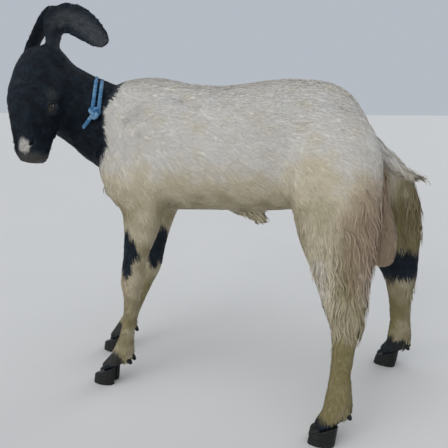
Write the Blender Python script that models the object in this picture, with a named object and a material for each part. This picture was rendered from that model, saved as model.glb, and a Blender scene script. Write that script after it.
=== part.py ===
"""A young long-eared buck goat, life size, standing with its head turned to its left.

Metres, +Z up. The goat faces -X, its left side is -Y, and it stands on Z = 0.
The flesh is lofted from a few sections per limb, united into one body, then parted by thin
cuts into the pieces that a person would name. Every piece is the outer shape of the coat.
"""

import math
from collections import namedtuple

import bmesh
import bpy
from mathutils import Matrix, Vector
from mathutils.bvhtree import BVHTree

# --- driving sizes ------------------------------------------------------------------------

CUT = 0.0004  # width of the thin cut between two pieces
VOXEL = 0.0045  # grain of the union of the flesh
BODY_RATIO = 0.0255  # share of the union's triangles that the finished flesh keeps
RING = 28  # points round a loft of the flesh
SMALL_RING = 10  # points round a loft that stays as it is
STEPS = 5  # rings between two sections

HEAD_LENGTH = 0.215  # poll to lips
POLL = Vector((-0.377, -0.108, 0.667))
MUZZLE_AIM = Vector((0.05, -0.27, -0.963)).normalized()  # poll to lips
FACE_AIM = Vector((-0.06, -0.96, 0.25))  # out of the bridge of the nose

EYE_RADIUS = 0.0112
EYE_ALONG = 0.116  # from the poll towards the lips
EYE_ASIDE = 0.0415
EYE_OUT = -0.006  # from the poll's level towards the bridge of the nose

EAR_HALF_WIDTHS = {"left": 0.033, "right": 0.0276}
EAR_THICKNESS = 0.0066

CLAW_LENGTH = 0.047
CLAW_WIDTH = 0.0205
CLAW_HEIGHT = 0.030
CLAW_GAP = 0.0022  # between the two claws of a foot
SOLE_INSET = 0.0015

ROPE_RADIUS = 0.004
ROPE_SINK = -0.0006  # how deep the rope's middle lies under the coat's surface
UNDER_SINK = 0.0022  # how much deeper it lies under the throat
COLLAR_CENTRE = Vector((-0.304, -0.026, 0.532))
COLLAR_FACING = Vector((-0.80, -0.52, 0.16)).normalized()  # the way its loops face
COLLAR_SPACING = 0.0115  # between the middles of the two turns
KNOT_ANGLE = 170  # degrees round the neck from its right side, over the top

BLACK_COAT = (0.012, 0.012, 0.014)
WHITE_COAT = (0.80, 0.76, 0.66)
YELLOWED_COAT = (0.62, 0.55, 0.36)
BARE_SKIN = (0.55, 0.40, 0.32)
HORN_BLACK = (0.03, 0.028, 0.026)
EYE_AMBER = (0.35, 0.20, 0.06)
ROPE_BLUE = (0.30, 0.62, 0.82)

# A section of a limb: its centre, half its width, half its depth, and which way its depth points.
Section = namedtuple("Section", "centre side depth dorsal")


def section(x, y, z, side, depth, dorsal=(1, 0, 0)):
    """Return a limb's section, with its depth along dorsal."""
    return Section(Vector((x, y, z)), side, depth, Vector(dorsal).normalized())


def trunk_section(x, top, bottom, side, shift=0.0):
    """Return an upright section of the trunk between its top and bottom lines."""
    return section(x, shift, (top + bottom) / 2, side, (top - bottom) / 2, (0, 0, 1))


TRUNK = [
    trunk_section(-0.292, 0.505, 0.405, 0.028, -0.008),
    trunk_section(-0.272, 0.560, 0.372, 0.060, -0.006),
    trunk_section(-0.232, 0.606, 0.348, 0.084, -0.004),
    trunk_section(-0.178, 0.618, 0.346, 0.095),
    trunk_section(-0.100, 0.605, 0.352, 0.102),
    trunk_section(-0.020, 0.600, 0.358, 0.112),
    trunk_section(0.060, 0.608, 0.362, 0.112),
    trunk_section(0.120, 0.612, 0.370, 0.099),
    trunk_section(0.168, 0.604, 0.388, 0.086),
    trunk_section(0.204, 0.558, 0.410, 0.064),
    trunk_section(0.238, 0.500, 0.422, 0.045),
    trunk_section(0.264, 0.460, 0.428, 0.024),
]

NECK = [
    section(-0.205, 0.000, 0.488, 0.078, 0.112, (0.55, 0.05, 0.83)),
    section(-0.256, -0.010, 0.510, 0.068, 0.093, (0.52, 0.10, 0.82)),
    section(-0.302, -0.027, 0.538, 0.058, 0.079, (0.42, 0.20, 0.86)),
    section(-0.342, -0.048, 0.569, 0.052, 0.073, (0.28, 0.35, 0.87)),
    section(-0.366, -0.066, 0.602, 0.046, 0.066, (0.10, 0.50, 0.80)),
]

SHEATH = [
    section(-0.015, 0, 0.368, 0.014, 0.014, (0, 0, 1)),
    section(0.030, 0, 0.357, 0.015, 0.015, (0, 0, 1)),
    section(0.052, 0, 0.344, 0.010, 0.012, (0, 0, 1)),
    section(0.060, 0, 0.334, 0.004, 0.006, (0, 0, 1)),
]

BRISKET_TUFT = [
    section(-0.255, -0.016, 0.396, 0.030, 0.034, (0, 0, 1)),
    section(-0.280, -0.022, 0.386, 0.020, 0.022, (0, 0, 1)),
    section(-0.297, -0.024, 0.380, 0.006, 0.008, (0, 0, 1)),
]

SCROTUM = [
    section(0.258, 0, 0.450, 0.018, 0.024),
    section(0.270, 0, 0.392, 0.020, 0.019),
    section(0.280, 0, 0.345, 0.030, 0.026),
    section(0.283, 0, 0.305, 0.031, 0.028),
    section(0.284, 0, 0.282, 0.021, 0.020),
    section(0.284, 0, 0.274, 0.008, 0.008),
]

TAIL = [
    section(0.218, 0, 0.534, 0.015, 0.013, (0.7, 0, 0.7)),
    section(0.246, 0, 0.508, 0.020, 0.013, (0.7, 0, 0.7)),
    section(0.278, 0, 0.473, 0.021, 0.012, (0.7, 0, 0.7)),
    section(0.306, 0, 0.450, 0.017, 0.009, (0.6, 0, 0.8)),
    section(0.336, 0, 0.437, 0.006, 0.004, (0.3, 0, 0.9)),
]

NEAR_FORELEG = [
    section(-0.235, -0.052, 0.480, 0.030, 0.050),
    section(-0.205, -0.066, 0.430, 0.036, 0.064),
    section(-0.172, -0.076, 0.375, 0.034, 0.050),
    section(-0.172, -0.083, 0.325, 0.027, 0.038),
    section(-0.183, -0.089, 0.270, 0.021, 0.026),
    section(-0.191, -0.094, 0.212, 0.021, 0.024),
    section(-0.190, -0.099, 0.175, 0.016, 0.017),
    section(-0.198, -0.107, 0.110, 0.0135, 0.0145),
    section(-0.206, -0.113, 0.068, 0.018, 0.021),
    section(-0.222, -0.119, 0.044, 0.017, 0.018),
    section(-0.236, -0.124, 0.024, 0.021, 0.022),
]

FAR_FORELEG = [
    section(-0.235, 0.048, 0.480, 0.030, 0.050),
    section(-0.214, 0.060, 0.430, 0.036, 0.062),
    section(-0.192, 0.068, 0.375, 0.034, 0.045),
    section(-0.204, 0.068, 0.325, 0.027, 0.034),
    section(-0.215, 0.064, 0.265, 0.021, 0.025),
    section(-0.226, 0.058, 0.205, 0.021, 0.023),
    section(-0.238, 0.049, 0.165, 0.016, 0.017),
    section(-0.261, 0.031, 0.100, 0.0135, 0.0145),
    section(-0.274, 0.021, 0.066, 0.018, 0.020),
    section(-0.288, 0.014, 0.044, 0.017, 0.018),
    section(-0.298, 0.010, 0.024, 0.021, 0.022),
]

NEAR_HIND_LEG = [
    section(0.182, -0.048, 0.545, 0.034, 0.056),
    section(0.196, -0.068, 0.485, 0.044, 0.080),
    section(0.203, -0.086, 0.425, 0.044, 0.082),
    section(0.214, -0.100, 0.365, 0.038, 0.074),
    section(0.224, -0.112, 0.310, 0.030, 0.058),
    section(0.231, -0.122, 0.262, 0.023, 0.044),
    section(0.240, -0.130, 0.216, 0.019, 0.034),
    section(0.240, -0.137, 0.176, 0.0165, 0.022),
    section(0.238, -0.149, 0.118, 0.0155, 0.0185),
    section(0.238, -0.160, 0.070, 0.019, 0.024),
    section(0.228, -0.167, 0.046, 0.018, 0.019),
    section(0.219, -0.172, 0.024, 0.022, 0.023),
]

FAR_HIND_LEG = [
    section(0.160, 0.040, 0.540, 0.030, 0.040),
    section(0.180, 0.060, 0.480, 0.040, 0.062),
    section(0.230, 0.082, 0.420, 0.043, 0.086),
    section(0.268, 0.096, 0.365, 0.038, 0.082),
    section(0.294, 0.106, 0.310, 0.030, 0.062),
    section(0.308, 0.112, 0.262, 0.023, 0.046),
    section(0.318, 0.116, 0.222, 0.020, 0.035),
    section(0.321, 0.120, 0.180, 0.0175, 0.025),
    section(0.325, 0.132, 0.120, 0.0165, 0.0215),
    section(0.326, 0.144, 0.072, 0.020, 0.025),
    section(0.315, 0.150, 0.046, 0.018, 0.019),
    section(0.305, 0.154, 0.024, 0.022, 0.023),
]

# The head's profile from the poll to the lips: share of its length, bridge line, jaw line, half width.
HEAD_PROFILE = [
    (-0.07, -0.012, -0.058, 0.026),
    (0.00, 0.004, -0.074, 0.045),
    (0.14, 0.020, -0.085, 0.052),
    (0.30, 0.033, -0.088, 0.052),
    (0.45, 0.041, -0.084, 0.050),
    (0.58, 0.043, -0.072, 0.041),
    (0.70, 0.037, -0.060, 0.034),
    (0.82, 0.027, -0.051, 0.031),
    (0.92, 0.014, -0.046, 0.031),
    (0.985, -0.002, -0.042, 0.025),
    (1.01, -0.012, -0.034, 0.013),
]


# --- the head's own frame -----------------------------------------------------------------


def head_frame():
    """Return the matrix from the head's frame to the world's.

    In the head's frame X points to the goat's left, Y out of the bridge of the nose and Z from
    the poll to the lips.
    """
    along = MUZZLE_AIM
    out = (FACE_AIM - along * FACE_AIM.dot(along)).normalized()
    left = out.cross(along)
    turn = Matrix((left, out, along)).transposed().to_4x4()
    return Matrix.Translation(POLL) @ turn


HEAD_FRAME = head_frame()


def in_head(left, out, along):
    """Return the world place of a point given in the head's frame."""
    return HEAD_FRAME @ Vector((left, out, along))


def head_sections():
    """Return the head's sections from its profile."""
    sections = []
    for share, bridge, jaw, side in HEAD_PROFILE:
        centre = in_head(0, (bridge + jaw) / 2, share * HEAD_LENGTH)
        dorsal = HEAD_FRAME.to_3x3() @ Vector((0, 1, 0))
        sections.append(Section(centre, side, (bridge - jaw) / 2, dorsal))
    return sections


# --- shaping ------------------------------------------------------------------------------


def between(a, b, c, d, t):
    """Return the Catmull-Rom value at t between b and c."""
    return 0.5 * (
        2 * b + (c - a) * t + (2 * a - 5 * b + 4 * c - d) * t * t + (3 * b - a - 3 * c + d) * t**3
    )


def refine(sections, steps=STEPS):
    """Return the sections with smooth ones added between them."""
    finer = []
    last = len(sections) - 1
    for i in range(last):
        four = [sections[max(0, min(last, k))] for k in (i - 1, i, i + 1, i + 2)]
        for step in range(steps):
            t = step / steps
            finer.append(Section(*(between(*values, t) for values in zip(*four))))
    finer.append(sections[-1])
    return finer


def ring_points(this, before, after, squareness, count):
    """Return the points round one section, square to the way the limb runs."""
    along = (after.centre - before.centre).normalized()
    depth_way = (this.dorsal - along * this.dorsal.dot(along)).normalized()
    side_way = depth_way.cross(along)
    points = []
    for k in range(count):
        angle = 2 * math.pi * k / count
        across = math.copysign(abs(math.cos(angle)) ** (2 / squareness), math.cos(angle))
        deep = math.copysign(abs(math.sin(angle)) ** (2 / squareness), math.sin(angle))
        points.append(this.centre + side_way * this.side * across + depth_way * this.depth * deep)
    return points


def bridge_rings(bm, rings, closed=False):
    """Join rings of vertices into a tube, capped unless it closes on itself."""
    following = rings[1:] + rings[:1] if closed else rings[1:]
    for lower, upper in zip(rings, following):
        count = len(lower)
        for k in range(count):
            n = (k + 1) % count
            bm.faces.new((lower[k], lower[n], upper[n], upper[k]))
    if not closed:
        bm.faces.new(list(reversed(rings[0])))
        bm.faces.new(rings[-1])


def loft(bm, sections, squareness=2.0, count=RING, steps=STEPS):
    """Add a closed tube through the sections to bm."""
    sections = refine(sections, steps)
    last = len(sections) - 1
    rings = []
    for i, this in enumerate(sections):
        before, after = sections[max(0, i - 1)], sections[min(last, i + 1)]
        points = ring_points(this, before, after, squareness, count)
        rings.append([bm.verts.new(p) for p in points])
    bridge_rings(bm, rings)


def ball(bm, centre, radius, stretch=(1, 1, 1), turn=None, rings=12):
    """Add a sphere, stretched along its own axes and then turned, to bm."""
    turn = turn or Matrix.Identity(3)
    placed = Matrix.Translation(centre) @ turn.to_4x4() @ Matrix.Diagonal((*stretch, 1))
    bmesh.ops.create_uvsphere(bm, u_segments=2 * rings, v_segments=rings, radius=radius, matrix=placed)


def block(bm, centre, sizes, turn):
    """Add a box with its own turn to bm."""
    placed = Matrix.Translation(centre) @ turn.to_4x4() @ Matrix.Diagonal((*sizes, 1))
    bmesh.ops.create_cube(bm, size=1, matrix=placed)


def facing(normal, across=(0, 1, 0)):
    """Return a turn whose Z is the normal and whose X lies near across."""
    z = Vector(normal).normalized()
    x = Vector(across)
    x = (x - z * x.dot(z)).normalized()
    return Matrix((x, z.cross(x), z)).transposed()


# --- objects and materials ----------------------------------------------------------------


def material(name, colour, roughness=0.8):
    """Return a plain material, made once."""
    found = bpy.data.materials.get(name)
    if found:
        return found
    made = bpy.data.materials.new(name)
    made.use_nodes = True
    surface = made.node_tree.nodes["Principled BSDF"]
    surface.inputs["Base Color"].default_value = (*colour, 1)
    surface.inputs["Roughness"].default_value = roughness
    surface.inputs["Metallic"].default_value = 0.0
    return made


def add_object(name, mesh, finish=None, smooth=True):
    """Link a new object that holds the mesh."""
    made = bpy.data.objects.new(name, mesh)
    bpy.context.scene.collection.objects.link(made)
    if smooth:
        mesh.shade_smooth()
    if finish:
        mesh.materials.clear()
        mesh.materials.append(finish)
    return made


def mesh_from(bm, name):
    """Return a mesh of bm's triangles, with its faces pointing out, and free bm."""
    bmesh.ops.recalc_face_normals(bm, faces=bm.faces)
    mesh = bpy.data.meshes.new(name)
    bm.to_mesh(mesh)
    bm.free()
    return mesh


def evaluated(thing, name):
    """Return the thing's mesh with its modifiers applied, and remove the thing."""
    bpy.context.view_layer.update()
    depsgraph = bpy.context.evaluated_depsgraph_get()
    mesh = bpy.data.meshes.new_from_object(thing.evaluated_get(depsgraph))
    mesh.name = name
    bpy.data.objects.remove(thing)
    return mesh


def boolean(mesh, cutter_mesh, operation, name):
    """Return the mesh after an exact Boolean with the cutter."""
    thing = add_object("whole", mesh)
    cutter = add_object("cutter", cutter_mesh)
    cutter.hide_render = True
    cutter.display_type = "WIRE"
    step = thing.modifiers.new("Cut", "BOOLEAN")
    step.operation = operation
    step.object = cutter
    step.solver = "EXACT"
    result = evaluated(thing, name)
    bpy.data.objects.remove(cutter)
    return result


def swollen(mesh, by, name):
    """Return a copy of the mesh, moved outwards along its normals."""
    copy = mesh.copy()
    copy.name = name
    normals = [v.normal.copy() for v in copy.vertices]
    for vertex, normal in zip(copy.vertices, normals):
        vertex.co += normal * by
    return copy


def islands(mesh):
    """Return one mesh for each separate body of the mesh."""
    bm = bmesh.new()
    bm.from_mesh(mesh)
    bmesh.ops.triangulate(bm, faces=bm.faces)
    unseen = set(bm.verts)
    groups = []
    while unseen:
        stack = [unseen.pop()]
        group = set(stack)
        while stack:
            for edge in stack.pop().link_edges:
                for vertex in edge.verts:
                    if vertex in unseen:
                        unseen.remove(vertex)
                        group.add(vertex)
                        stack.append(vertex)
        groups.append(group)
    meshes = []
    for group in groups:
        part = bmesh.new()
        new = {v: part.verts.new(v.co) for v in sorted(group, key=lambda v: v.index)}
        for face in bm.faces:
            if face.verts[0] in group:
                part.faces.new([new[v] for v in face.verts])
        meshes.append(mesh_from(part, "island"))
    bm.free()
    return meshes


# --- the flesh ----------------------------------------------------------------------------

HEAD_TURN = HEAD_FRAME.to_3x3()


def flesh_lofts():
    """Return one mesh of overlapping closed shapes that make up the flesh."""
    bm = bmesh.new()
    loft(bm, TRUNK, 2.15)
    loft(bm, NECK)
    loft(bm, head_sections(), 2.25)
    for leg in (NEAR_FORELEG, FAR_FORELEG, NEAR_HIND_LEG, FAR_HIND_LEG):
        loft(bm, leg)
    for piece in (SHEATH, BRISKET_TUFT):
        loft(bm, piece)
    for side in (-1, 1):
        orbit = in_head(side * (EYE_ASIDE - 0.009), EYE_OUT - 0.002, EYE_ALONG - 0.001)
        ball(bm, orbit, 0.0185, (0.90, 0.95, 1.25), HEAD_TURN)
        cheek = in_head(side * 0.028, -0.052, 0.072)
        ball(bm, cheek, 0.027, (0.75, 1.1, 1.5), HEAD_TURN)
        ear_root = in_head(side * 0.037, -0.028, 0.014)
        ball(bm, ear_root, 0.019, (1.1, 1.0, 1.1), HEAD_TURN)
    return mesh_from(bm, "lofts")


def united(mesh, voxel, ratio, name, iterations=7):
    """Return the mesh's overlapping shapes as one closed, smoothed body of fewer triangles."""
    thing = add_object(name, mesh)
    union = thing.modifiers.new("Union", "REMESH")
    union.mode = "VOXEL"
    union.voxel_size = voxel
    soften = thing.modifiers.new("Soften", "SMOOTH")
    soften.factor = 0.5
    soften.iterations = iterations
    thin = thing.modifiers.new("Thin", "DECIMATE")
    thin.ratio = ratio
    return evaluated(thing, name)


# Where each thin cut lies: its centre, the way it faces, its width and its height.
CUTS = {
    "head": ((-0.333, -0.034, 0.570), (-0.551, -0.681, 0.481), 0.26, 0.34),
    "neck": ((-0.268, -0.015, 0.530), (-0.93, -0.30, 0.20), 0.24, 0.31),
    "near_fore": ((-0.172, -0.083, 0.338), (0.0, -0.15, -1.0), 0.11, 0.13),
    "far_fore": ((-0.195, 0.068, 0.338), (0.0, 0.15, -1.0), 0.11, 0.13),
    "near_knee": ((-0.190, -0.097, 0.188), (-0.1, -0.1, -1.0), 0.07, 0.08),
    "far_knee": ((-0.231, 0.054, 0.188), (-0.35, -0.2, -1.0), 0.07, 0.08),
    "near_hind": ((0.212, -0.104, 0.392), (0.28, -0.22, -0.92), 0.150, 0.24),
    "far_hind": ((0.252, 0.104, 0.392), (0.28, 0.22, -0.92), 0.150, 0.25),
    "near_hock": ((0.238, -0.133, 0.196), (0.25, -0.1, -1.0), 0.08, 0.10),
    "far_hock": ((0.319, 0.118, 0.202), (0.25, 0.1, -1.0), 0.08, 0.10),
}

# A point inside each piece that the cuts leave.
PIECE_SEEDS = {
    "head": (-0.37, -0.13, 0.60),
    "neck": (-0.295, -0.022, 0.54),
    "trunk": (0.0, 0.0, 0.48),
    "foreleg_left_upper": (-0.183, -0.089, 0.27),
    "foreleg_left_lower": (-0.197, -0.106, 0.11),
    "foreleg_right_upper": (-0.215, 0.064, 0.265),
    "foreleg_right_lower": (-0.259, 0.033, 0.10),
    "hind_leg_left_upper": (0.224, -0.112, 0.31),
    "hind_leg_left_lower": (0.238, -0.149, 0.118),
    "hind_leg_right_upper": (0.294, 0.106, 0.31),
    "hind_leg_right_lower": (0.325, 0.132, 0.12),
}

# Each leg's sections, its foot's place on the floor and the way its toes point.
LEGS = {
    "foreleg_left": (NEAR_FORELEG, (-0.243, -0.125), (-1.0, -0.10)),
    "foreleg_right": (FAR_FORELEG, (-0.305, 0.009), (-1.0, 0.0)),
    "hind_leg_left": (NEAR_HIND_LEG, (0.214, -0.173), (-1.0, -0.12)),
    "hind_leg_right": (FAR_HIND_LEG, (0.300, 0.156), (-1.0, 0.10)),
}
FETLOCK = -3  # the section of a leg that is its fetlock
CORONET_TILT = 0.42  # how far the coronet leans forwards, as a slope
CORONET_DEPTH = 0.05  # what is taken off under the coronet
MOUTH_LIPS = (0.0, -0.023, 0.2145)  # the mouth's line at the lips, in the head's frame
MOUTH_BACK = (0.0, -0.060, 0.080)  # its end under the cheek, in front of the jaw's corner


def foot_turn(toes):
    """Return the turn whose X points along the toes and whose Z is up."""
    x = Vector((*toes, 0)).normalized()
    z = Vector((0, 0, 1))
    return Matrix((x, z.cross(x), z)).transposed()


def coronet_plane(place, toes):
    """Return a point and normal of the plane where a foot's horn meets its skin."""
    turn = foot_turn(toes)
    point = Vector((*place, CLAW_HEIGHT)) - turn.col[0] * CLAW_LENGTH * 0.05
    normal = (turn.col[0] * CORONET_TILT + Vector((0, 0, 1))).normalized()
    return point, normal


def plate(centre, normal, width, height, across=(0, 1, 0)):
    """Return the mesh of one thin cutting plate."""
    bm = bmesh.new()
    block(bm, Vector(centre), (width, height, CUT), facing(normal, across))
    return mesh_from(bm, "plate")


def coronet_blocks():
    """Return blocks that hold whatever flesh lies under the four coronets."""
    bm = bmesh.new()
    for _, place, toes in LEGS.values():
        point, normal = coronet_plane(place, toes)
        middle = point - normal * CORONET_DEPTH / 2
        block(bm, middle, (0.09, 0.09, CORONET_DEPTH), facing(normal, foot_turn(toes).col[1]))
    return mesh_from(bm, "coronets")


def parted_flesh():
    """Return the flesh's meshes by name."""
    flesh = united(flesh_lofts(), VOXEL, BODY_RATIO, "flesh")
    flesh = boolean(flesh, coronet_blocks(), "DIFFERENCE", "flesh")
    for centre, normal, width, height in CUTS.values():
        flesh = boolean(flesh, plate(centre, normal, width, height), "DIFFERENCE", "flesh")
    parts = islands(flesh)
    pieces = {name: holding(parts, Vector(seed)) for name, seed in PIECE_SEEDS.items()}
    lips, back = in_head(*MOUTH_LIPS), in_head(*MOUTH_BACK)
    left, out, along = HEAD_TURN.col
    ahead = (lips - back).normalized()
    mouth = plate(back + ahead * 0.115, left.cross(ahead), 0.28, 0.24, left)
    throat = plate(back - out * 0.08, along, 0.28, 0.165, left)
    head = boolean(pieces["head"], mouth, "DIFFERENCE", "head")
    halves = islands(boolean(head, throat, "DIFFERENCE", "head"))
    pieces["head"] = holding(halves, in_head(0, 0.0, 0.10))
    pieces["lower_jaw"] = holding(halves, in_head(0, -0.060, 0.12))
    return pieces


def holding(meshes, point):
    """Return the mesh that the point lies inside, taken by counting what a ray leaves through."""
    ray = Vector((0.12, 0.21, 0.97)).normalized()
    for mesh in meshes:
        tree = tree_of(mesh)
        crossings = 0
        start = point
        while True:
            hit, _, _, _ = tree.ray_cast(start, ray)
            if hit is None:
                break
            crossings += 1
            start = hit + ray * 1e-6
        if crossings % 2:
            return mesh
    raise ValueError(f"no piece of flesh holds {tuple(point)}")


def tree_of(*meshes):
    """Return a search tree of the meshes' faces."""
    corners, faces = [], []
    for mesh in meshes:
        faces += [[len(corners) + v for v in face.vertices] for face in mesh.polygons]
        corners += [v.co for v in mesh.vertices]
    return BVHTree.FromPolygons(corners, faces)


def trimmed(mesh, others, name):
    """Return the mesh less what the others fill, with a thin gap left between."""
    for other in others:
        mesh = boolean(mesh, swollen(other, CUT, "swollen"), "DIFFERENCE", name)
    return max(islands(mesh), key=lambda m: len(m.vertices))


# --- ears, eyes, tail, feet and collar ----------------------------------------------------

# Each ear's middle line in the head's frame. Both are raised; the left one then falls
# outwards and the right one backwards.
EAR_LINES = {
    "left": [
        (0.030, -0.030, 0.014),
        (0.018, -0.034, -0.030),
        (0.014, -0.038, -0.066),
        (0.029, -0.042, -0.079),
        (0.060, -0.046, -0.069),
        (0.093, -0.050, -0.045),
        (0.126, -0.054, -0.017),
    ],
    "right": [
        (-0.038, -0.030, 0.014),
        (-0.034, -0.033, -0.020),
        (-0.022, -0.040, -0.056),
        (-0.018, -0.056, -0.086),
        (-0.028, -0.082, -0.093),
        (-0.046, -0.106, -0.074),
        (-0.058, -0.118, -0.044),
    ],
}
EAR_STEPS = 2
EAR_ACROSS = 4


def ear_path(line):
    """Return the middle line of one ear, smoothly, in the head's frame."""
    corners = [Vector(corner) for corner in line]
    last = len(corners) - 1
    path = []
    for i in range(last):
        four = [corners[max(0, min(last, k))] for k in (i - 1, i, i + 1, i + 2)]
        path += [between(*four, step / EAR_STEPS) for step in range(EAR_STEPS)]
    return path + [corners[-1]]


def ear_rows(path, i, half_width):
    """Return the outer and inner points across the ear at one place on its path."""
    last = len(path) - 1
    share = i / last
    along = (path[min(i + 1, last)] - path[max(i - 1, 0)]).normalized()
    fall = (path[-1] - path[0]).cross(path[last // 2] - path[0]).normalized()
    at_root = Vector((0, 1, 0))
    in_blade = fall.cross(along).normalized()
    twist = max(0.0, min(1.0, (share - 0.15) / 0.4))
    across = at_root * (1 - twist) + in_blade * twist
    across = (across - along * across.dot(along)).normalized()
    normal = along.cross(across)
    widening = max(0.0, min(1.0, (share - 0.18) / 0.42))
    width = 0.52 + 0.48 * math.sin(widening * math.pi / 2) ** 1.5
    tip = math.sqrt(max(0.05, 1 - max(0.0, (share - 0.48) / 0.54) ** 2))
    half = half_width * width * tip
    fold = 1.15 * (1 - share) ** 1.5 + 0.30
    outer, inner = [], []
    for k in range(EAR_ACROSS + 1):
        u = 2 * k / EAR_ACROSS - 1
        bend = u * fold
        lift = half * (math.cos(bend) - 1) * 0.8
        middle = path[i] + across * half * math.sin(bend) / math.sin(fold) + normal * lift
        facing_out = (normal * math.cos(bend) + across * math.sin(bend)).normalized()
        thick = EAR_THICKNESS / 2 * (1 - 0.5 * u * u) * (1 + 0.6 * (1 - share) ** 3)
        outer.append(middle + facing_out * thick)
        inner.append(middle - facing_out * thick)
    return outer + inner[::-1]


def ear_mesh(word):
    """Return one ear as a closed, thin, folded blade."""
    path = ear_path(EAR_LINES[word])
    bm = bmesh.new()
    rings = []
    for i in range(len(path)):
        rings.append([bm.verts.new(HEAD_FRAME @ p) for p in ear_rows(path, i, EAR_HALF_WIDTHS[word])])
    bridge_rings(bm, rings)
    bmesh.ops.triangulate(bm, faces=bm.faces)
    return mesh_from(bm, "ear")


def eye_mesh(side):
    """Return one eyeball."""
    bm = bmesh.new()
    ball(bm, in_head(side * EYE_ASIDE, EYE_OUT, EYE_ALONG), EYE_RADIUS, rings=6)
    return mesh_from(bm, "eye")


def small_loft(sections, name):
    """Return a loft of few triangles as a mesh of its own."""
    bm = bmesh.new()
    loft(bm, sections, count=SMALL_RING, steps=2)
    bmesh.ops.triangulate(bm, faces=bm.faces)
    return mesh_from(bm, name)


CLAW_COLUMNS = 10
# A claw's rings: height, how far it leans back as a share of its length, and how wide it is.
CLAW_RINGS = (
    (0.0, 0.0, 0.93),
    (SOLE_INSET, 0.0, 1.0),
    (CLAW_HEIGHT * 0.55, -0.05, 0.98),
    (CLAW_HEIGHT * 1.5, -0.16, 0.90),
)


def claw_mesh(place, toes, side):
    """Return one claw: a wedge of horn with a flat sole, cut off along the coronet."""
    turn = foot_turn(toes)
    centre = Vector((*place, 0)) + turn.col[1] * side * (CLAW_WIDTH + CLAW_GAP) / 2
    bm = bmesh.new()
    rings = []
    for height, lean, share in CLAW_RINGS:
        ring = []
        for k in range(CLAW_COLUMNS):
            angle = 2 * math.pi * k / CLAW_COLUMNS
            forward, aside = math.cos(angle), math.sin(angle)
            narrowing = 1 - 0.38 * max(0.0, forward) ** 2
            flat_inside = 0.90 if aside * side < 0 else 1.0
            x = forward * CLAW_LENGTH / 2 * share + lean * CLAW_LENGTH
            y = math.copysign(abs(aside) ** 0.8, aside) * CLAW_WIDTH / 2
            y *= share * narrowing * flat_inside
            ring.append(bm.verts.new(centre + turn @ Vector((x, y, height))))
        rings.append(ring)
    bridge_rings(bm, rings)
    point, normal = coronet_plane(place, toes)
    cut = bmesh.ops.bisect_plane(
        bm,
        geom=bm.verts[:] + bm.edges[:] + bm.faces[:],
        plane_co=point - normal * CUT,
        plane_no=normal,
        clear_outer=True,
    )
    rim = [e for e in cut["geom_cut"] if isinstance(e, bmesh.types.BMEdge)]
    bmesh.ops.holes_fill(bm, edges=rim, sides=0)
    bmesh.ops.triangulate(bm, faces=bm.faces)
    return mesh_from(bm, "claw")


def dewclaw_mesh(leg, side):
    """Return one small horn behind the fetlock, pointing down and back."""
    sections, _, toes = LEGS[leg]
    fetlock = sections[FETLOCK]
    turn = foot_turn(toes)
    back = -turn.col[0]
    root = fetlock.centre + back * fetlock.depth * 0.55 + turn.col[1] * side * 0.0095
    root.z -= 0.010
    tip = root + back * 0.009 + Vector((0, 0, -0.013))
    sizes = (0.0060, 0.0062, 0.0054, 0.0032)
    horn = [
        Section(root.lerp(tip, i / 3), size, size, turn.col[1]) for i, size in enumerate(sizes)
    ]
    bm = bmesh.new()
    loft(bm, horn, count=6, steps=1)
    bmesh.ops.triangulate(bm, faces=bm.faces)
    return mesh_from(bm, "dewclaw")


COLLAR_POINTS = 17
COLLAR_SIDES = 5


def collar_path(tree, shift):
    """Return one turn of the collar: a ring that lies in the coat round the neck."""
    n = COLLAR_FACING
    up = (Vector((0, 0, 1)) - n * n.z).normalized()
    right = n.cross(up)
    centre = COLLAR_CENTRE + n * shift
    ways, reaches = [], []
    for k in range(COLLAR_POINTS):
        angle = 2 * math.pi * k / COLLAR_POINTS
        out = right * math.cos(angle) + up * math.sin(angle)
        hit, _, _, _ = tree.ray_cast(centre, out)
        under = UNDER_SINK if out.z < -0.3 else 0.0
        ways.append(out)
        reaches.append((hit - centre).length - ROPE_SINK - under)
    for _ in range(2):
        around = zip(reaches[-1:] + reaches[:-1], reaches, reaches[1:] + reaches[:1])
        reaches = [(a + 2 * b + c) / 4 for a, b, c in around]
    return [centre + out * reach for out, reach in zip(ways, reaches)]


def collar_mesh(path):
    """Return a closed ring of rope along the path."""
    bm = bmesh.new()
    rings = []
    n = COLLAR_FACING
    count = len(path)
    for k, place in enumerate(path):
        along = (path[(k + 1) % count] - path[k - 1]).normalized()
        out = n.cross(along).normalized()
        side = along.cross(out)
        ring = []
        for i in range(COLLAR_SIDES):
            angle = 2 * math.pi * i / COLLAR_SIDES
            ring.append(bm.verts.new(place + (out * math.cos(angle) + side * math.sin(angle)) * ROPE_RADIUS))
        rings.append(ring)
    bridge_rings(bm, rings, closed=True)
    bmesh.ops.triangulate(bm, faces=bm.faces)
    return mesh_from(bm, "collar")


# The knot's lumps round its middle (along the neck, up, out) and their radii.
KNOT_LUMPS = (
    (0.000, 0.000, 0.004, 0.0095),
    (0.006, 0.008, 0.004, 0.0075),
    (-0.007, 0.006, 0.003, 0.0075),
    (0.006, -0.008, 0.003, 0.0075),
    (-0.006, -0.009, 0.004, 0.0070),
)
KNOT_END = Vector((-0.026, -0.014, -0.026))  # from the knot to the rope's cut end


def knot_mesh(place, tree):
    """Return the collar's knot with its short cut end, which lies on the neck."""
    n = COLLAR_FACING
    out = tree.find_nearest(place)[1]
    up = n.cross(out).normalized()
    bm = bmesh.new()
    for along, high, proud, radius in KNOT_LUMPS:
        ball(bm, place + n * along + up * high + out * proud, radius, rings=8)
    end = []
    for step in range(6):
        near, normal, _, _ = tree.find_nearest(place + KNOT_END * step / 5)
        size = ROPE_RADIUS * (1.0 if step < 5 else 0.8)
        end.append(Section(near - normal * ROPE_SINK, size, size, normal))
    loft(bm, end, count=10, steps=2)
    return united(mesh_from(bm, "lumps"), 0.0030, 0.42, "knot", 2)


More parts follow.
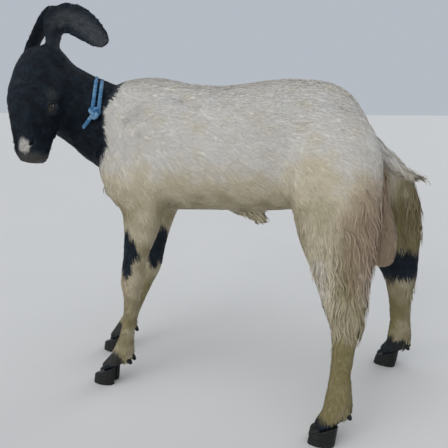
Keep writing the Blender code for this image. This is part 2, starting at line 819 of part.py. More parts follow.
def add_collar(pieces):
    """Cut the collar's bed in the coat, and return its two turns and its knot by name."""
    tree = tree_of(pieces["neck"], pieces["head"])
    paths = [collar_path(tree, share * COLLAR_SPACING) for share in (-0.5, 0.5)]
    place = (len(paths[0]) * KNOT_ANGLE) // 360
    knot = knot_mesh((paths[0][place] + paths[1][place]) / 2, tree)
    turns = [collar_mesh(path) for path in paths]
    pieces["neck"] = trimmed(pieces["neck"], [*turns, knot], "neck")
    pieces["head"] = trimmed(pieces["head"], [*turns, knot], "head")
    collar = {"collar_knot": knot}
    for turn, word in zip(turns, ("rear", "front")):
        collar[f"collar_turn_{word}"] = trimmed(turn, [knot], "turn")
    return collar


def stand_at_origin():
    """Move every piece so that the middle of the whole's box stands at the origin."""
    things = [o for o in bpy.data.objects if o.type == "MESH"]
    places = [v.co for o in things for v in o.data.vertices]
    low = Vector([min(p[axis] for p in places) for axis in range(3)])
    high = Vector([max(p[axis] for p in places) for axis in range(3)])
    shift = Matrix.Translation((-(low.x + high.x) / 2, -(low.y + high.y) / 2, -low.z))
    for thing in things:
        thing.data.transform(shift)


def main():
    """Build every piece of the goat."""
    for thing in list(bpy.data.objects):
        bpy.data.objects.remove(thing)

    black = material("black_coat", BLACK_COAT)
    white = material("white_coat", WHITE_COAT)
    yellowed = material("yellowed_coat", YELLOWED_COAT)
    bare = material("bare_skin", BARE_SKIN)
    horn = material("hoof_horn", HORN_BLACK, 0.55)
    eye = material("eye_surface", EYE_AMBER, 0.08)
    rope = material("rope", ROPE_BLUE, 0.6)

    pieces = parted_flesh()
    for name, mesh in add_collar(pieces).items():
        add_object(name, mesh, rope)

    for side, word in ((1, "left"), (-1, "right")):
        eyeball = eye_mesh(side)
        pieces["head"] = trimmed(pieces["head"], [eyeball], "head")
        add_object(f"eye_{word}", eyeball, eye)
        pieces[f"ear_{word}"] = trimmed(ear_mesh(word), [pieces["head"]], "ear")

    pieces["tail"] = trimmed(small_loft(TAIL, "tail"), [pieces["trunk"]], "tail")
    thighs = [pieces["hind_leg_left_upper"], pieces["hind_leg_right_upper"]]
    pieces["scrotum"] = trimmed(small_loft(SCROTUM, "scrotum"), [pieces["trunk"], *thighs], "scrotum")

    finishes = {"scrotum": bare, "trunk": white, "tail": white}
    for name, mesh in pieces.items():
        if "leg" in name:
            finish = yellowed if name.endswith("lower") else white
        else:
            finish = finishes.get(name, black)
        add_object(name, mesh, finish)

    for leg, (_, place, toes) in LEGS.items():
        for side, word in ((1, "a"), (-1, "b")):
            add_object(f"{leg}_claw_{word}", claw_mesh(place, toes, side), horn, smooth=False)
            dewclaw = trimmed(dewclaw_mesh(leg, side), [pieces[f"{leg}_lower"]], "dewclaw")
            add_object(f"{leg}_dewclaw_{word}", dewclaw, horn)

    stand_at_origin()


main()
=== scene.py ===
"""A young long-eared buck goat in a rope collar, life size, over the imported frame.

One skin covers every part of flesh. A coat of solid locks lies on it, and the eyes, the hooves
and the twisted rope are pieces of their own.
"""

import logging
import math
from collections.abc import Callable, Iterator
from dataclasses import dataclass, field
from enum import Enum

import bmesh
import bpy
import numpy as np
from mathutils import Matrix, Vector
from mathutils.bvhtree import BVHTree


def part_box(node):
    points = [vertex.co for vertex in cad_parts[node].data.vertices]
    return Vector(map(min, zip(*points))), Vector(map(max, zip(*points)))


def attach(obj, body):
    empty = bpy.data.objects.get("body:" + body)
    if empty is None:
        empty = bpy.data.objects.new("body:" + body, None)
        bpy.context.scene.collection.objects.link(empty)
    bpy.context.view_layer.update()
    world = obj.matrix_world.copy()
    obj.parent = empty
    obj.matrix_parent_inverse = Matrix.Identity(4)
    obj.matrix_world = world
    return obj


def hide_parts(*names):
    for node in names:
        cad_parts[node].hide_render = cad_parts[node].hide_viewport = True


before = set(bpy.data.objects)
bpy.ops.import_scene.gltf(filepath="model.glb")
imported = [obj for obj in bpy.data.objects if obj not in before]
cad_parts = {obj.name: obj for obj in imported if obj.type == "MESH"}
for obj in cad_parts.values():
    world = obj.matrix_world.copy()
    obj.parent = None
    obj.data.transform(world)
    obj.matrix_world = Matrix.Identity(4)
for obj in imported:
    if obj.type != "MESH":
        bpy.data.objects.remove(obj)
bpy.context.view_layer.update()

log = logging.getLogger("goat")
Array = np.ndarray
Triple = tuple[float, float, float]  # a place or a size, in metres, or a way
Colour = tuple[float, float, float]
UV_NAME = "OFBake"
WHOLE_TURN = 2 * math.pi


# --- shader expressions -------------------------------------------------------------------


def operator(operation: str, swapped: bool = False) -> Callable:
    """A Wire's operator, which adds one Math node.

    Args:
        operation: What the node does.
        swapped: Whether the wire is its second value.

    Returns:
        The method.
    """

    def method(self: "Wire", other: object) -> "Wire":
        """Add the node on the wire and the other value."""
        return self.math(operation, *((other, self) if swapped else (self, other)))

    return method


class Wire:
    """An output socket with arithmetic: an expression on it adds the Math nodes."""

    def __init__(self, graph: "Graph", socket: bpy.types.NodeSocket) -> None:
        """Hold one socket of a graph."""
        self.graph = graph
        self.socket = socket

    def math(self, operation: str, *values: object) -> "Wire":
        """Add one Math node on these values."""
        return self.graph.node("ShaderNodeMath", {"operation": operation}, dict(enumerate(values)))

    __add__ = __radd__ = operator("ADD")
    __sub__ = operator("SUBTRACT")
    __rsub__ = operator("SUBTRACT", swapped=True)
    __mul__ = __rmul__ = operator("MULTIPLY")
    __pow__ = operator("POWER")

    def __abs__(self) -> "Wire":
        """Drop the sign."""
        return self.math("ABSOLUTE", self)

    def sine(self) -> "Wire":
        """The sine, of radians."""
        return self.math("SINE", self)

    def step(self, low: float, high: float) -> "Wire":
        """Rise smoothly from 0 at low to 1 at high, or fall where low is the larger."""
        limits = {0: self, 1: min(low, high), 2: max(low, high)}
        rise = self.graph.node("ShaderNodeMapRange", {"interpolation_type": "SMOOTHSTEP"}, limits)
        return rise if low < high else 1.0 - rise


class Graph:
    """The node tree of one material."""

    def __init__(self, name: str) -> None:
        """Start an empty material of this name."""
        self.material = bpy.data.materials.new(name)
        self.material.use_nodes = True
        self.tree = self.material.node_tree
        self.tree.nodes.clear()

    def node(self, kind: str, settings: dict | None = None, inputs: dict | None = None,
             output: int = 0) -> Wire:
        """Add a node.

        Args:
            kind: The node's type.
            settings: Its own settings, set first. "stops" are a colour ramp's.
            inputs: A value or a Wire for each input, by its name or number.
            output: Which output to return.

        Returns:
            The wire of that output.
        """
        made = self.tree.nodes.new(kind)
        for name, value in (settings or {}).items():
            if name == "stops":
                self._ramp(made.color_ramp, value)
            else:
                setattr(made, name, value)
        for name, value in (inputs or {}).items():
            self.join(made.inputs[name], value)
        return Wire(self, made.outputs[output] if made.outputs else None)

    def join(self, socket: bpy.types.NodeSocket, value: object) -> None:
        """Link a wire to the socket, or set a number, colour or vector on it."""
        if isinstance(value, Wire):
            self.tree.links.new(value.socket, socket)
        elif isinstance(value, tuple) and socket.type == "RGBA":
            socket.default_value = (*value, 1.0)
        else:
            socket.default_value = value

    def _ramp(self, ramp: bpy.types.ColorRamp, stops: list[tuple[float, Colour]]) -> None:
        """Set a colour ramp's stops."""
        while len(ramp.elements) < len(stops):
            ramp.elements.new(0.5)
        for element, (place, colour) in zip(ramp.elements, stops):
            element.position = place
            element.color = (*colour, 1.0)

    def mix(self, factor: object, first: object, second: object, blend: str = "MIX") -> Wire:
        """Mix two colours."""
        settings = {"data_type": "RGBA", "blend_type": blend}
        return self.node("ShaderNodeMix", settings, {0: factor, 6: first, 7: second}, 2)

    def vector(self, operation: str, *values: object) -> Wire:
        """Add one Vector Math node."""
        return self.node("ShaderNodeVectorMath", {"operation": operation}, dict(enumerate(values)))

    def grade(self, colour: object, amount: Wire) -> Wire:
        """Scale a colour's brightness by a wire."""
        grey = self.node("ShaderNodeCombineColor", {}, {0: amount, 1: amount, 2: amount})
        return self.mix(1.0, colour, grey, "MULTIPLY")

    def attribute(self, name: str) -> Wire:
        """Read a number that the mesh carries."""
        return self.node("ShaderNodeAttribute", {"attribute_name": name}, {}, 2)

    def position(self) -> Wire:
        """The place on the object, in metres."""
        return self.node("ShaderNodeTexCoord", {}, {}, 3)

    def noise(self, scale: float, detail: float = 2.0, stretch: Triple = (1.0, 1.0, 1.0)) -> Wire:
        """Noise from 0 to 1 with this many grains to the metre."""
        place = self.vector("MULTIPLY", self.position(), stretch)
        return self.node("ShaderNodeTexNoise", {}, {"Vector": place, "Scale": scale, "Detail": detail})

    def surface(self, base: object, roughness: object, height: Wire | None = None, bump: float = 0.0,
                **constants: object) -> bpy.types.Material:
        """Close the graph with its shader.

        Args:
            base: The colour.
            roughness: The roughness.
            height: What the bump follows, in metres once scaled by bump.
            bump: The bump's distance in metres.
            constants: Other sockets of the shader, by name with _ for a space.

        Returns:
            The finished material.
        """
        inputs = {"Base Color": base, "Roughness": roughness}
        for name, value in constants.items():
            inputs[name.replace("_", " ")] = value
        if height is not None:
            relief = {"Strength": 1.0, "Distance": bump, "Height": height}
            inputs["Normal"] = self.node("ShaderNodeBump", {}, relief)
        shader = self.node("ShaderNodeBsdfPrincipled", {}, inputs)
        self.node("ShaderNodeOutputMaterial", {}, {0: shader})
        return self.material


# --- finishes -----------------------------------------------------------------------------


@dataclass(frozen=True)
class CoatFinish:
    """Goat hair and the skin under it: white, yellowed, black, or bare and rosy. The yellow is partly
    yellowing by the stall and partly painted shade on the lower body, and the black carries a painted bluish
    sky reflection.
    """

    white: Colour = (0.83, 0.805, 0.755)
    cream: Colour = (0.75, 0.665, 0.485)
    # the darkest yellow: partly real yellowing from the stall, partly painted shade on the legs and the
    # belly
    stain_and_shade: Colour = (0.275, 0.232, 0.100)
    rose: Colour = (0.50, 0.365, 0.255)
    black: Colour = (0.005, 0.010, 0.017)
    # painted reflection: a bluish sky reflection painted into the black hair's colour
    painted_sheen: Colour = (0.012, 0.022, 0.036)

    def markings(self, graph: Graph) -> Wire:
        """The colour that the mesh's markings give, with a painted reflection on the black and painted shade
        in the yellow.
        """
        stain_and_shade = graph.attribute("stain_and_shade")
        pale = graph.mix(stain_and_shade.step(0.0, 0.5), self.white, self.cream)
        pale = graph.mix(stain_and_shade.step(0.4, 1.0), pale, self.stain_and_shade)
        pale = graph.mix(graph.attribute("rose"), pale, self.rose)
        patch = graph.noise(38.0, 3.0)
        pale = graph.grade(pale, 0.93 + 0.12 * patch)
        # the black is flecked with the painted bluish sky reflection
        deep = graph.mix(graph.noise(60.0, 2.0).step(0.35, 0.7), self.black, self.painted_sheen)
        return graph.mix(graph.attribute("dark"), pale, deep)

    def hair(self) -> bpy.types.Material:
        """The locks' material: paler to the tip, the darker root being painted shade, and each lock a tone
        of its own; long hanging locks carry painted shade between their clumps.
        """
        graph = Graph("goat_hair")
        tip, vary, across, hang = (graph.attribute(name) for name in ("tip", "vary", "across", "hang"))
        strand = ((across * 9.0 + vary * 40.0).sine() * 0.5 + 0.5) ** 2.0
        # darker to the root: painted shade at the foot of each lock; vary gives each lock its own tone
        shade = (0.86 + 0.14 * tip) * (0.94 + 0.12 * vary) * (1.0 - 0.08 * strand)
        # long hanging locks: those with a higher vary are darker, painted shade between clumps, and each is
        # darker again towards its root, painted shade under the locks
        shade = shade * (1.0 - 0.30 * hang * vary.step(0.45, 1.0)) * (1.0 - 0.16 * hang * (1.0 - tip))
        tinged = graph.mix(hang * vary.step(0.30, 0.75) * 0.45, self.markings(graph), self.rose)
        colour = graph.grade(graph.mix(graph.attribute("dark"), tinged, self.markings(graph)), shade)
        rough = 0.62 - 0.17 * graph.attribute("dark")
        return graph.surface(colour, rough, strand, 0.0002, Specular_IOR_Level=0.22)

    def skin(self) -> bpy.types.Material:
        """The skin's material: the same markings, with the nap of short flat hair as bump."""
        graph = Graph("goat_skin")
        nap = graph.noise(900.0, 4.0, (1.0, 1.0, 0.45))
        bare = graph.attribute("bare")
        pores = graph.noise(520.0, 3.0)
        colour = graph.grade(self.markings(graph), 0.84 + 0.16 * nap)
        rough = 0.66 - 0.16 * bare
        height = nap * (1.0 - bare) + pores * bare
        return graph.surface(colour, rough, height, 0.0008, Specular_IOR_Level=0.25)


@dataclass(frozen=True)
class HornFinish:
    """Black hoof horn with growth rings, dusty at the rim."""

    dark: Colour = (0.006, 0.006, 0.006)
    worn: Colour = (0.045, 0.040, 0.033)

    def make(self) -> bpy.types.Material:
        """The hooves' material."""
        graph = Graph("hoof_horn_finish")
        ring = graph.noise(70.0, 2.0, (0.35, 0.35, 6.0)).step(0.35, 0.65)
        low = graph.node("ShaderNodeSeparateXYZ", {}, {0: graph.position()}, 2).step(0.012, 0.0)
        dust = graph.noise(140.0, 4.0).step(0.45, 0.8)
        colour = graph.mix((0.15 + 0.7 * low) * dust, self.dark, self.worn)
        return graph.surface(colour, 0.42 + 0.3 * dust, ring + 0.3 * dust, 0.0005, Specular_IOR_Level=0.3)


@dataclass(frozen=True)
class EyeFinish:
    """A goat's eye: a dark amber iris with a level slit pupil under a wet cornea."""

    iris: Colour = (0.040, 0.019, 0.007)
    edge: Colour = (0.010, 0.006, 0.004)
    white: Colour = (0.020, 0.015, 0.012)
    pupil: Colour = (0.002, 0.002, 0.003)

    def make(self) -> bpy.types.Material:
        """The eyes' material."""
        graph = Graph("eye_finish")
        fore, brow = graph.attribute("fore"), graph.attribute("brow")
        reach = (fore * fore + brow * brow) ** 0.5
        spokes = graph.noise(900.0, 3.0)
        iris = graph.mix(spokes, self.edge, self.iris)
        iris = graph.mix(reach.step(0.50, 0.74), iris, self.edge)
        eye = graph.mix(reach.step(0.76, 0.84), iris, self.white)
        slit = abs(brow).step(0.19, 0.14) * abs(fore).step(0.50, 0.43)
        colour = graph.mix(slit, eye, self.pupil)
        return graph.surface(colour, 0.06, Specular_IOR_Level=0.35, Coat_Weight=0.4, Coat_Roughness=0.02)


@dataclass(frozen=True)
class RimFinish:
    """The wet black edge of the lids."""

    colour: Colour = (0.012, 0.011, 0.012)

    def make(self) -> bpy.types.Material:
        """The lids' edge material."""
        graph = Graph("lid_rim")
        grain = graph.noise(1500.0, 3.0)
        return graph.surface(graph.grade(self.colour, 0.7 + 0.6 * grain), 0.35 + 0.2 * grain, grain, 0.0002)


@dataclass(frozen=True)
class RopeFinish:
    """Pale blue plastic rope, its fibres dirtied between the strands."""

    clean: Colour = (0.085, 0.27, 0.52)
    faded: Colour = (0.26, 0.47, 0.68)
    dirt: Colour = (0.03, 0.08, 0.13)

    def make(self) -> bpy.types.Material:
        """The collar's material."""
        graph = Graph("rope_finish")
        turn, along = graph.attribute("turn"), graph.attribute("along")
        fibre = ((turn * 12.0 + along * 1100.0).sine() * 0.5 + 0.5)
        fade = graph.noise(55.0, 3.0).step(0.4, 0.65)
        colour = graph.mix(fade, self.clean, self.faded)
        colour = graph.mix(graph.noise(210.0, 3.0).step(0.55, 0.8) * 0.6, colour, self.dirt)
        colour = graph.grade(colour, 0.82 + 0.18 * fibre)
        return graph.surface(colour, 0.48 + 0.2 * fade, fibre, 0.0003, Specular_IOR_Level=0.4)


@dataclass(frozen=True)
class FloorFinish:
    """A plain pale floor."""

    colour: Colour = (0.74, 0.73, 0.71)

    def make(self) -> bpy.types.Material:
        """The floor's material."""
        graph = Graph("floor_finish")
        return graph.surface(graph.grade(self.colour, 0.98 + 0.04 * graph.noise(3.0)), 0.8)


# --- mesh arrays --------------------------------------------------------------------------


def unit(vectors: Array) -> Array:
    """The vectors at length 1."""
    return vectors / np.maximum(np.linalg.norm(vectors, axis=-1, keepdims=True), 1e-12)


def smoothstep(values: Array, low: float, high: float) -> Array:
    """Rise smoothly from 0 at low to 1 at high, or fall where low is the larger."""
    share = np.clip((values - low) / (high - low), 0.0, 1.0)
    return share * share * (3.0 - 2.0 * share)


RIPPLE_WAVES = 9
RIPPLE_PEAK = 3.2  # about the highest that so many waves add up to


def ripple(points: Array, size: float, seed: int) -> Array:
    """Smooth noise of about -1 to 1, whose lumps are about this size in metres."""
    rng = np.random.default_rng(seed)
    total = np.zeros(len(points))
    for _ in range(RIPPLE_WAVES):
        way = rng.normal(size=3)
        pace = WHOLE_TURN / size * rng.uniform(0.35, 1.1) / np.linalg.norm(way)
        total += np.sin(points @ (way * pace) + rng.uniform(0, WHOLE_TURN))
    return total / RIPPLE_PEAK


def mesh_points(mesh: bpy.types.Mesh) -> Array:
    """A mesh's points as an array."""
    points = np.empty(len(mesh.vertices) * 3)
    mesh.vertices.foreach_get("co", points)
    return points.reshape(-1, 3)


def mesh_of(name: str, points: Array, faces: Array) -> bpy.types.Mesh:
    """Make a smooth-shaded mesh from arrays.

    Args:
        name: The mesh's name.
        points: One row for each point.
        faces: One row for each face, all with as many corners.

    Returns:
        The mesh.
    """
    mesh = bpy.data.meshes.new(name)
    count, corners = faces.shape
    mesh.vertices.add(len(points))
    mesh.vertices.foreach_set("co", np.ascontiguousarray(points, dtype=np.float32).ravel())
    mesh.loops.add(count * corners)
    mesh.loops.foreach_set("vertex_index", np.ascontiguousarray(faces, dtype=np.int32).ravel())
    mesh.polygons.add(count)
    mesh.polygons.foreach_set("loop_start", np.arange(0, count * corners, corners, dtype=np.int32))
    mesh.polygons.foreach_set("use_smooth", np.ones(count, dtype=bool))
    mesh.update(calc_edges=True)
    return mesh


def carry(mesh: bpy.types.Mesh, values: dict[str, Array]) -> None:
    """Give a mesh one number for each point under each name."""
    for name, numbers in values.items():
        store = mesh.attributes.new(name, "FLOAT", "POINT")
        store.data.foreach_set("value", np.ascontiguousarray(numbers, dtype=np.float32))


def added(name: str, data: bpy.types.ID) -> bpy.types.Object:
    """Put a mesh, a light or a camera in the scene."""
    thing = bpy.data.objects.new(name, data)
    bpy.context.scene.collection.objects.link(thing)
    return thing


def evaluated_mesh(thing: bpy.types.Object) -> bpy.types.Mesh:
    """A copy of an object's mesh, with its modifiers applied."""
    graph = bpy.context.evaluated_depsgraph_get()
    return bpy.data.meshes.new_from_object(thing.evaluated_get(graph))


def place(name: str, mesh: bpy.types.Mesh, material: bpy.types.Material) -> bpy.types.Object:
    """Put a mesh in the scene, with its material."""
    thing = added(name, mesh)
    mesh.materials.clear()
    mesh.materials.append(material)
    return thing


def declare(thing: bpy.types.Object, slot: str, nodes: tuple[str, ...] = ()) -> None:
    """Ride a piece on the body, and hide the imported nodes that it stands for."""
    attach(thing, "root")
    if nodes:
        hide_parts(*nodes)
    log.info("%s: %d faces", thing.name, len(thing.data.polygons))


def stacked(bodies: list[tuple[Array, Array]]) -> tuple[Array, Array]:
    """The points and the triangles of several bodies as one pair of arrays."""
    shifts = np.cumsum([0] + [len(points) for points, _ in bodies[:-1]])
    faces = np.vstack([faces + shift for (_, faces), shift in zip(bodies, shifts)])
    return np.vstack([points for points, _ in bodies]), faces


def remeshed(bodies: list[tuple[Array, Array]], voxel: float) -> tuple[Array, Array]:
    """Melt closed bodies into one.

    Args:
        bodies: Each body's points and triangles.
        voxel: The grid's size.

    Returns:
        The points and the triangles of the one body.
    """
    thing = added("melt", mesh_of("melt", *stacked(bodies)))
    remesh = thing.modifiers.new("melt", "REMESH")
    remesh.mode = "VOXEL"
    remesh.voxel_size = voxel
    melted = evaluated_mesh(thing)
    bpy.data.objects.remove(thing)
    quads = np.empty(len(melted.loops), dtype=np.int32)
    melted.loops.foreach_get("vertex_index", quads)
    quads = quads.reshape(-1, 4)
    return mesh_points(melted), np.vstack([quads[:, [0, 1, 2]], quads[:, [0, 2, 3]]])


def node_body(name: str, swell: float = 0.0) -> tuple[Array, Array]:
    """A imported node's points, moved outwards a little, and its triangles."""
    work = bmesh.new()
    work.from_mesh(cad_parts[name].data)
    bmesh.ops.remove_doubles(work, verts=work.verts, dist=1e-6)
    bmesh.ops.triangulate(work, faces=work.faces)
    work.normal_update()
    points = np.array([tuple(v.co + v.normal * swell) for v in work.verts])
    faces = np.array([[v.index for v in f.verts] for f in work.faces])
    work.free()
    return points, faces


# --- places on the animal -----------------------------------------------------------------


def node_middle(name: str) -> Array:
    """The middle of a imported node's box."""
    low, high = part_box(name)
    return (np.array(low) + np.array(high)) / 2


@dataclass(frozen=True)
class HeadPlace:
    """The head's own axes, found from its eyes: to its left, out of its forehead, to its nose."""

    left: Array
    out: Array
    along: Array
    poll: Array
    eye_along: float = 0.116
    eye_out: float = -0.006

    @classmethod
    def found(cls) -> "HeadPlace":
        """The head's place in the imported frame."""
        eyes = [node_middle(eye) for eye in EYES]
        left = unit(eyes[0] - eyes[1])
        nose = np.array(MUZZLE_AIM)
        along = unit(nose - left * (nose @ left))
        out = np.cross(along, left)
        return cls(left, out, along, (eyes[0] + eyes[1]) / 2 - along * cls.eye_along - out * cls.eye_out)

    def local(self, points: Array) -> Array:
        """Points as (to the left, out, along)."""
        return (points - self.poll) @ np.array([self.left, self.out, self.along]).T

    def world(self, aside: float, out: float, along: float) -> Array:
        """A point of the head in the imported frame."""
        return self.poll + self.left * aside + self.out * out + self.along * along


MUZZLE_AIM = (0.05, -0.27, -0.963)


@dataclass(frozen=True)
class Spot:
    """A soft-edged ellipsoid that marks a place, in metres."""

    middle: Triple
    radii: Triple
    strength: float = 1.0
    ragged: float = 0.18

    def mask(self, points: Array, seed: int = 1, soft: float = 0.16) -> Array:
        """How much of the spot each point has, from 0 to 1."""
        reach = np.linalg.norm((points - np.array(self.middle)) / np.array(self.radii), axis=1)
        reach = reach + self.ragged * ripple(points, 0.016, seed)
        return self.strength * smoothstep(reach, 1.0 + soft, 1.0 - soft)


@dataclass(frozen=True)
class Pelage:
    """How the coat grows on one part of the body, in metres."""

    inset: float  # from the locks' tips down to the skin
    length: float
    width: float
    rise: float  # how high the tips stand over the skin
    cover: float  # layers of locks over each spot
    fall: float  # how far the locks turn downwards, from 0 to 1


class Part(Enum):
    """The parts of the skin, each with its own growth of coat."""

    HEAD = Pelage(0.0012, 0.0075, 0.0013, 0.0006, 1.3, 0.0)
    EAR = Pelage(0.0007, 0.0070, 0.0009, 0.0003, 1.3, 0.05)
    NECK = Pelage(0.0024, 0.0150, 0.0018, 0.0011, 1.9, 0.1)
    TRUNK = Pelage(0.0025, 0.0170, 0.0017, 0.0010, 2.2, 0.1)
    TAIL = Pelage(0.0028, 0.0240, 0.0018, 0.0022, 3.2, 0.6)
    SCROTUM = Pelage(0.0012, 0.0130, 0.0016, 0.0016, 2.2, 0.2)
    FORE_UPPER = Pelage(0.0020, 0.0130, 0.0019, 0.0011, 1.9, 0.1)
    FORE_LOWER = Pelage(0.0012, 0.0080, 0.0014, 0.0008, 1.5, 0.0)
    HIND_UPPER = Pelage(0.0026, 0.0210, 0.0017, 0.0014, 2.4, 0.25)
    HIND_LOWER = Pelage(0.0014, 0.0090, 0.0015, 0.0009, 1.5, 0.0)

    @classmethod
    def of(cls, node: str) -> "Part":
        """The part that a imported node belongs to."""
        if "leg" in node:
            row = "FORE" if node.startswith("fore") else "HIND"
            return cls[f"{row}_{'LOWER' if node.endswith('lower') else 'UPPER'}"]
        if node == "lower_jaw" or node in EYES:
            return cls.HEAD
        return cls.EAR if node.startswith("ear") else cls[node.upper()]


PARTS = list(Part)
LEGS = ("foreleg_left", "foreleg_right", "hind_leg_left", "hind_leg_right")
EYES = ("eye_left", "eye_right")
SIDES = {"left": 1, "right": -1}


# --- the skin -----------------------------------------------------------------------------

WAYS = ("way_x", "way_y", "way_z")  # which way the coat lies at each point
KEPT = 0.35  # how much of its own value a point keeps in one round of spreading


@dataclass
class Surface:
    """A closed surface of triangles, and the averages that pass along its edges."""

    points: Array
    triangles: Array

    def edges(self) -> Array:
        """Each edge once, as two points."""
        sides = np.vstack([self.triangles[:, [0, 1]], self.triangles[:, [1, 2]], self.triangles[:, [2, 0]]])
        sides.sort(axis=1)
        keys = np.unique(sides[:, 0].astype(np.int64) * len(self.points) + sides[:, 1])
        return np.stack([keys // len(self.points), keys % len(self.points)], axis=1)

    def normals(self) -> Array:
        """The outward way at each point."""
        corners = self.points[self.triangles]
        face = np.cross(corners[:, 1] - corners[:, 0], corners[:, 2] - corners[:, 0])
        total = np.stack([np.bincount(self.triangles.ravel(), np.repeat(face[:, k], 3), len(self.points))
                          for k in range(3)], axis=1)
        return unit(total)

    def spread(self, values: Array, rounds: int, edges: Array | None = None) -> Array:
        """Average a field over each point's neighbours, this many times."""
        edges = self.edges() if edges is None else edges
        flat = values.reshape(len(values), -1).astype(float)
        count = np.bincount(edges.ravel(), minlength=len(values))[:, None]
        for _ in range(rounds):
            sums = [np.bincount(edges[:, 0], column[edges[:, 1]], len(flat))
                    + np.bincount(edges[:, 1], column[edges[:, 0]], len(flat)) for column in flat.T]
            flat = KEPT * flat + (1 - KEPT) * np.stack(sums, axis=1) / count
        return flat.reshape(values.shape)

    def even(self, share: float, strength: object, edges: Array) -> None:
        """Move each point this share of the way to its neighbours' middle, or away where it is negative."""
        middle = (self.spread(self.points, 1, edges) - KEPT * self.points) / (1 - KEPT)
        self.points = self.points + (middle - self.points) * share * strength


@dataclass(kw_only=True)
class Skin(Surface):
    """The one skin over every part of flesh, and what is known at each of its points."""

    head: HeadPlace
    voxel: float = 0.0032
    swell: float = 0.0007  # closes the thin cuts between the parts
    soft_rounds: int = 26
    soft_rounds_ears: int = 4
    soft_rounds_small: int = 12  # on the head, shins, tail and scrotum
    seam_rounds: int = 90
    face_from: float = 0.06  # the face's stretch along the head, its half width and its underside
    face_half: float = 0.07
    face_under: float = -0.075
    muzzle_run: tuple[float, float] = (0.165, 0.23)
    eye_zone: tuple[float, float] = (0.019, 0.0145)  # how far round the eyes each refining goes
    points: Array = field(default_factory=lambda: np.zeros((0, 3)))
    triangles: Array = field(default_factory=lambda: np.zeros((0, 3), dtype=int))
    known: dict[str, Array] = field(default_factory=dict)

    FLESH = ("head", "lower_jaw", "neck", "trunk", "tail", "scrotum", "ear_left", "ear_right",
             *(f"{leg}_{end}" for leg in LEGS for end in ("upper", "lower")))

    def build(self) -> None:
        """Melt, smooth, refine and shape the skin, and work out and mark its fields."""
        self._melt()
        self._label()
        self._soften()
        self._refine()
        self._label()
        self._sink()
        self._features()
        self._flow()
        Markings().paint(self)

    def _melt(self) -> None:
        """Join every part of flesh, and the eyeballs, in one closed body."""
        bodies = [node_body(name, self.swell) for name in (*self.FLESH, *EYES)]
        self.points, self.triangles = remeshed(bodies, self.voxel)

    def _label(self) -> None:
        """Find which part each point belongs to."""
        names = (*self.FLESH, *EYES)
        bodies = [node_body(name) for name in names]
        owners = np.concatenate([np.full(len(faces), PARTS.index(Part.of(name)))
                                 for name, (_, faces) in zip(names, bodies)])
        tree = BVHTree.FromPolygons(*(rows.tolist() for rows in stacked(bodies)))
        found = [tree.find_nearest(point)[2] for point in self.points.tolist()]
        self.known["part"] = owners[np.array(found)]

    def on(self, *parts: Part) -> Array:
        """Which points are on these parts."""
        return np.isin(self.known["part"], [PARTS.index(p) for p in parts])

    def _soften(self) -> None:
        """Smooth away the facets and the cuts without letting the body shrink, then the limbs' roots."""
        edges = self.edges()
        thin = self.spread(self.on(Part.EAR).astype(float), 3, edges)[:, None]
        small = self.spread(self.on(Part.FORE_LOWER, Part.HIND_LOWER, Part.HEAD, Part.TAIL, Part.SCROTUM)
                            .astype(float), 4, edges)[:, None]
        for step in range(self.soft_rounds):
            strength = np.clip(1.0 - thin * (step >= self.soft_rounds_ears)
                               - small * (step >= self.soft_rounds_small), 0.0, 1.0)
            for share in (0.60, -0.62):
                self.even(share, strength, edges)
        seam = np.zeros(len(self.points))
        for spot in LIMB_ROOTS:
            seam = np.maximum(seam, spot.mask(self.points, 14, 0.6))
        seam = seam * (1 - thin[:, 0])
        for _ in range(self.seam_rounds):
            self.points = self.points + (self.spread(self.points, 1, edges) - self.points) * seam[:, None]

    def _refine(self) -> None:
        """Split the faces of the muzzle and round the eyes, and those nearest the eyes again."""
        work = bmesh.new()
        work.from_mesh(mesh_of("fine", self.points, self.triangles))
        eyes = [node_middle(eye) for eye in EYES]
        for level in range(len(self.eye_zone)):
            places = np.array([v.co for v in work.verts])
            local = self.head.local(places)
            near_eye = np.min([np.linalg.norm(places - eye, axis=1) for eye in eyes], axis=0)
            aside, out, along = local.T
            face = (along > self.face_from) & (np.abs(aside) < self.face_half) & (out > self.face_under)
            muzzle = face & (along > self.muzzle_run[0]) & (along < self.muzzle_run[1])
            chosen = (near_eye < self.eye_zone[level]) | (muzzle & (level == 0))
            work.edges.ensure_lookup_table()
            edges = [e for e in work.edges if chosen[e.verts[0].index] and chosen[e.verts[1].index]]
            bmesh.ops.subdivide_edges(work, edges=edges, cuts=1, use_grid_fill=True)
            bmesh.ops.triangulate(work, faces=[f for f in work.faces if len(f.verts) > 3])
            work.verts.index_update()
        self.points = np.array([v.co for v in work.verts])
        self.triangles = np.array([[v.index for v in f.verts] for f in work.faces])
        work.free()

    def _sink(self) -> None:
        """Draw the skin in below the tips of its coat."""
        depths = np.array([part.value.inset for part in PARTS])[self.known["part"]]
        for shag in SHAGS:
            depths = depths + shag.inset * shag.spot.mask(self.points, 5, 0.5)
        depths = self.spread(depths, 14)
        self.points = self.points - self.spread(self.normals(), 3) * depths[:, None]

    def _features(self) -> None:
        """Open the eyes, and cut in the nostrils, the mouth and the folds of skin."""
        bare, pit, depth = (np.zeros(len(self.points)) for _ in range(3))
        for side in SIDES.values():
            bare = np.maximum(bare, EyePlace.found(self.head, side).open_in(self))
        normals = self.spread(self.normals(), 2)
        local = self.head.local(self.points)
        for side in SIDES.values():
            hole = Nostril(side).depth(local)
            depth += hole
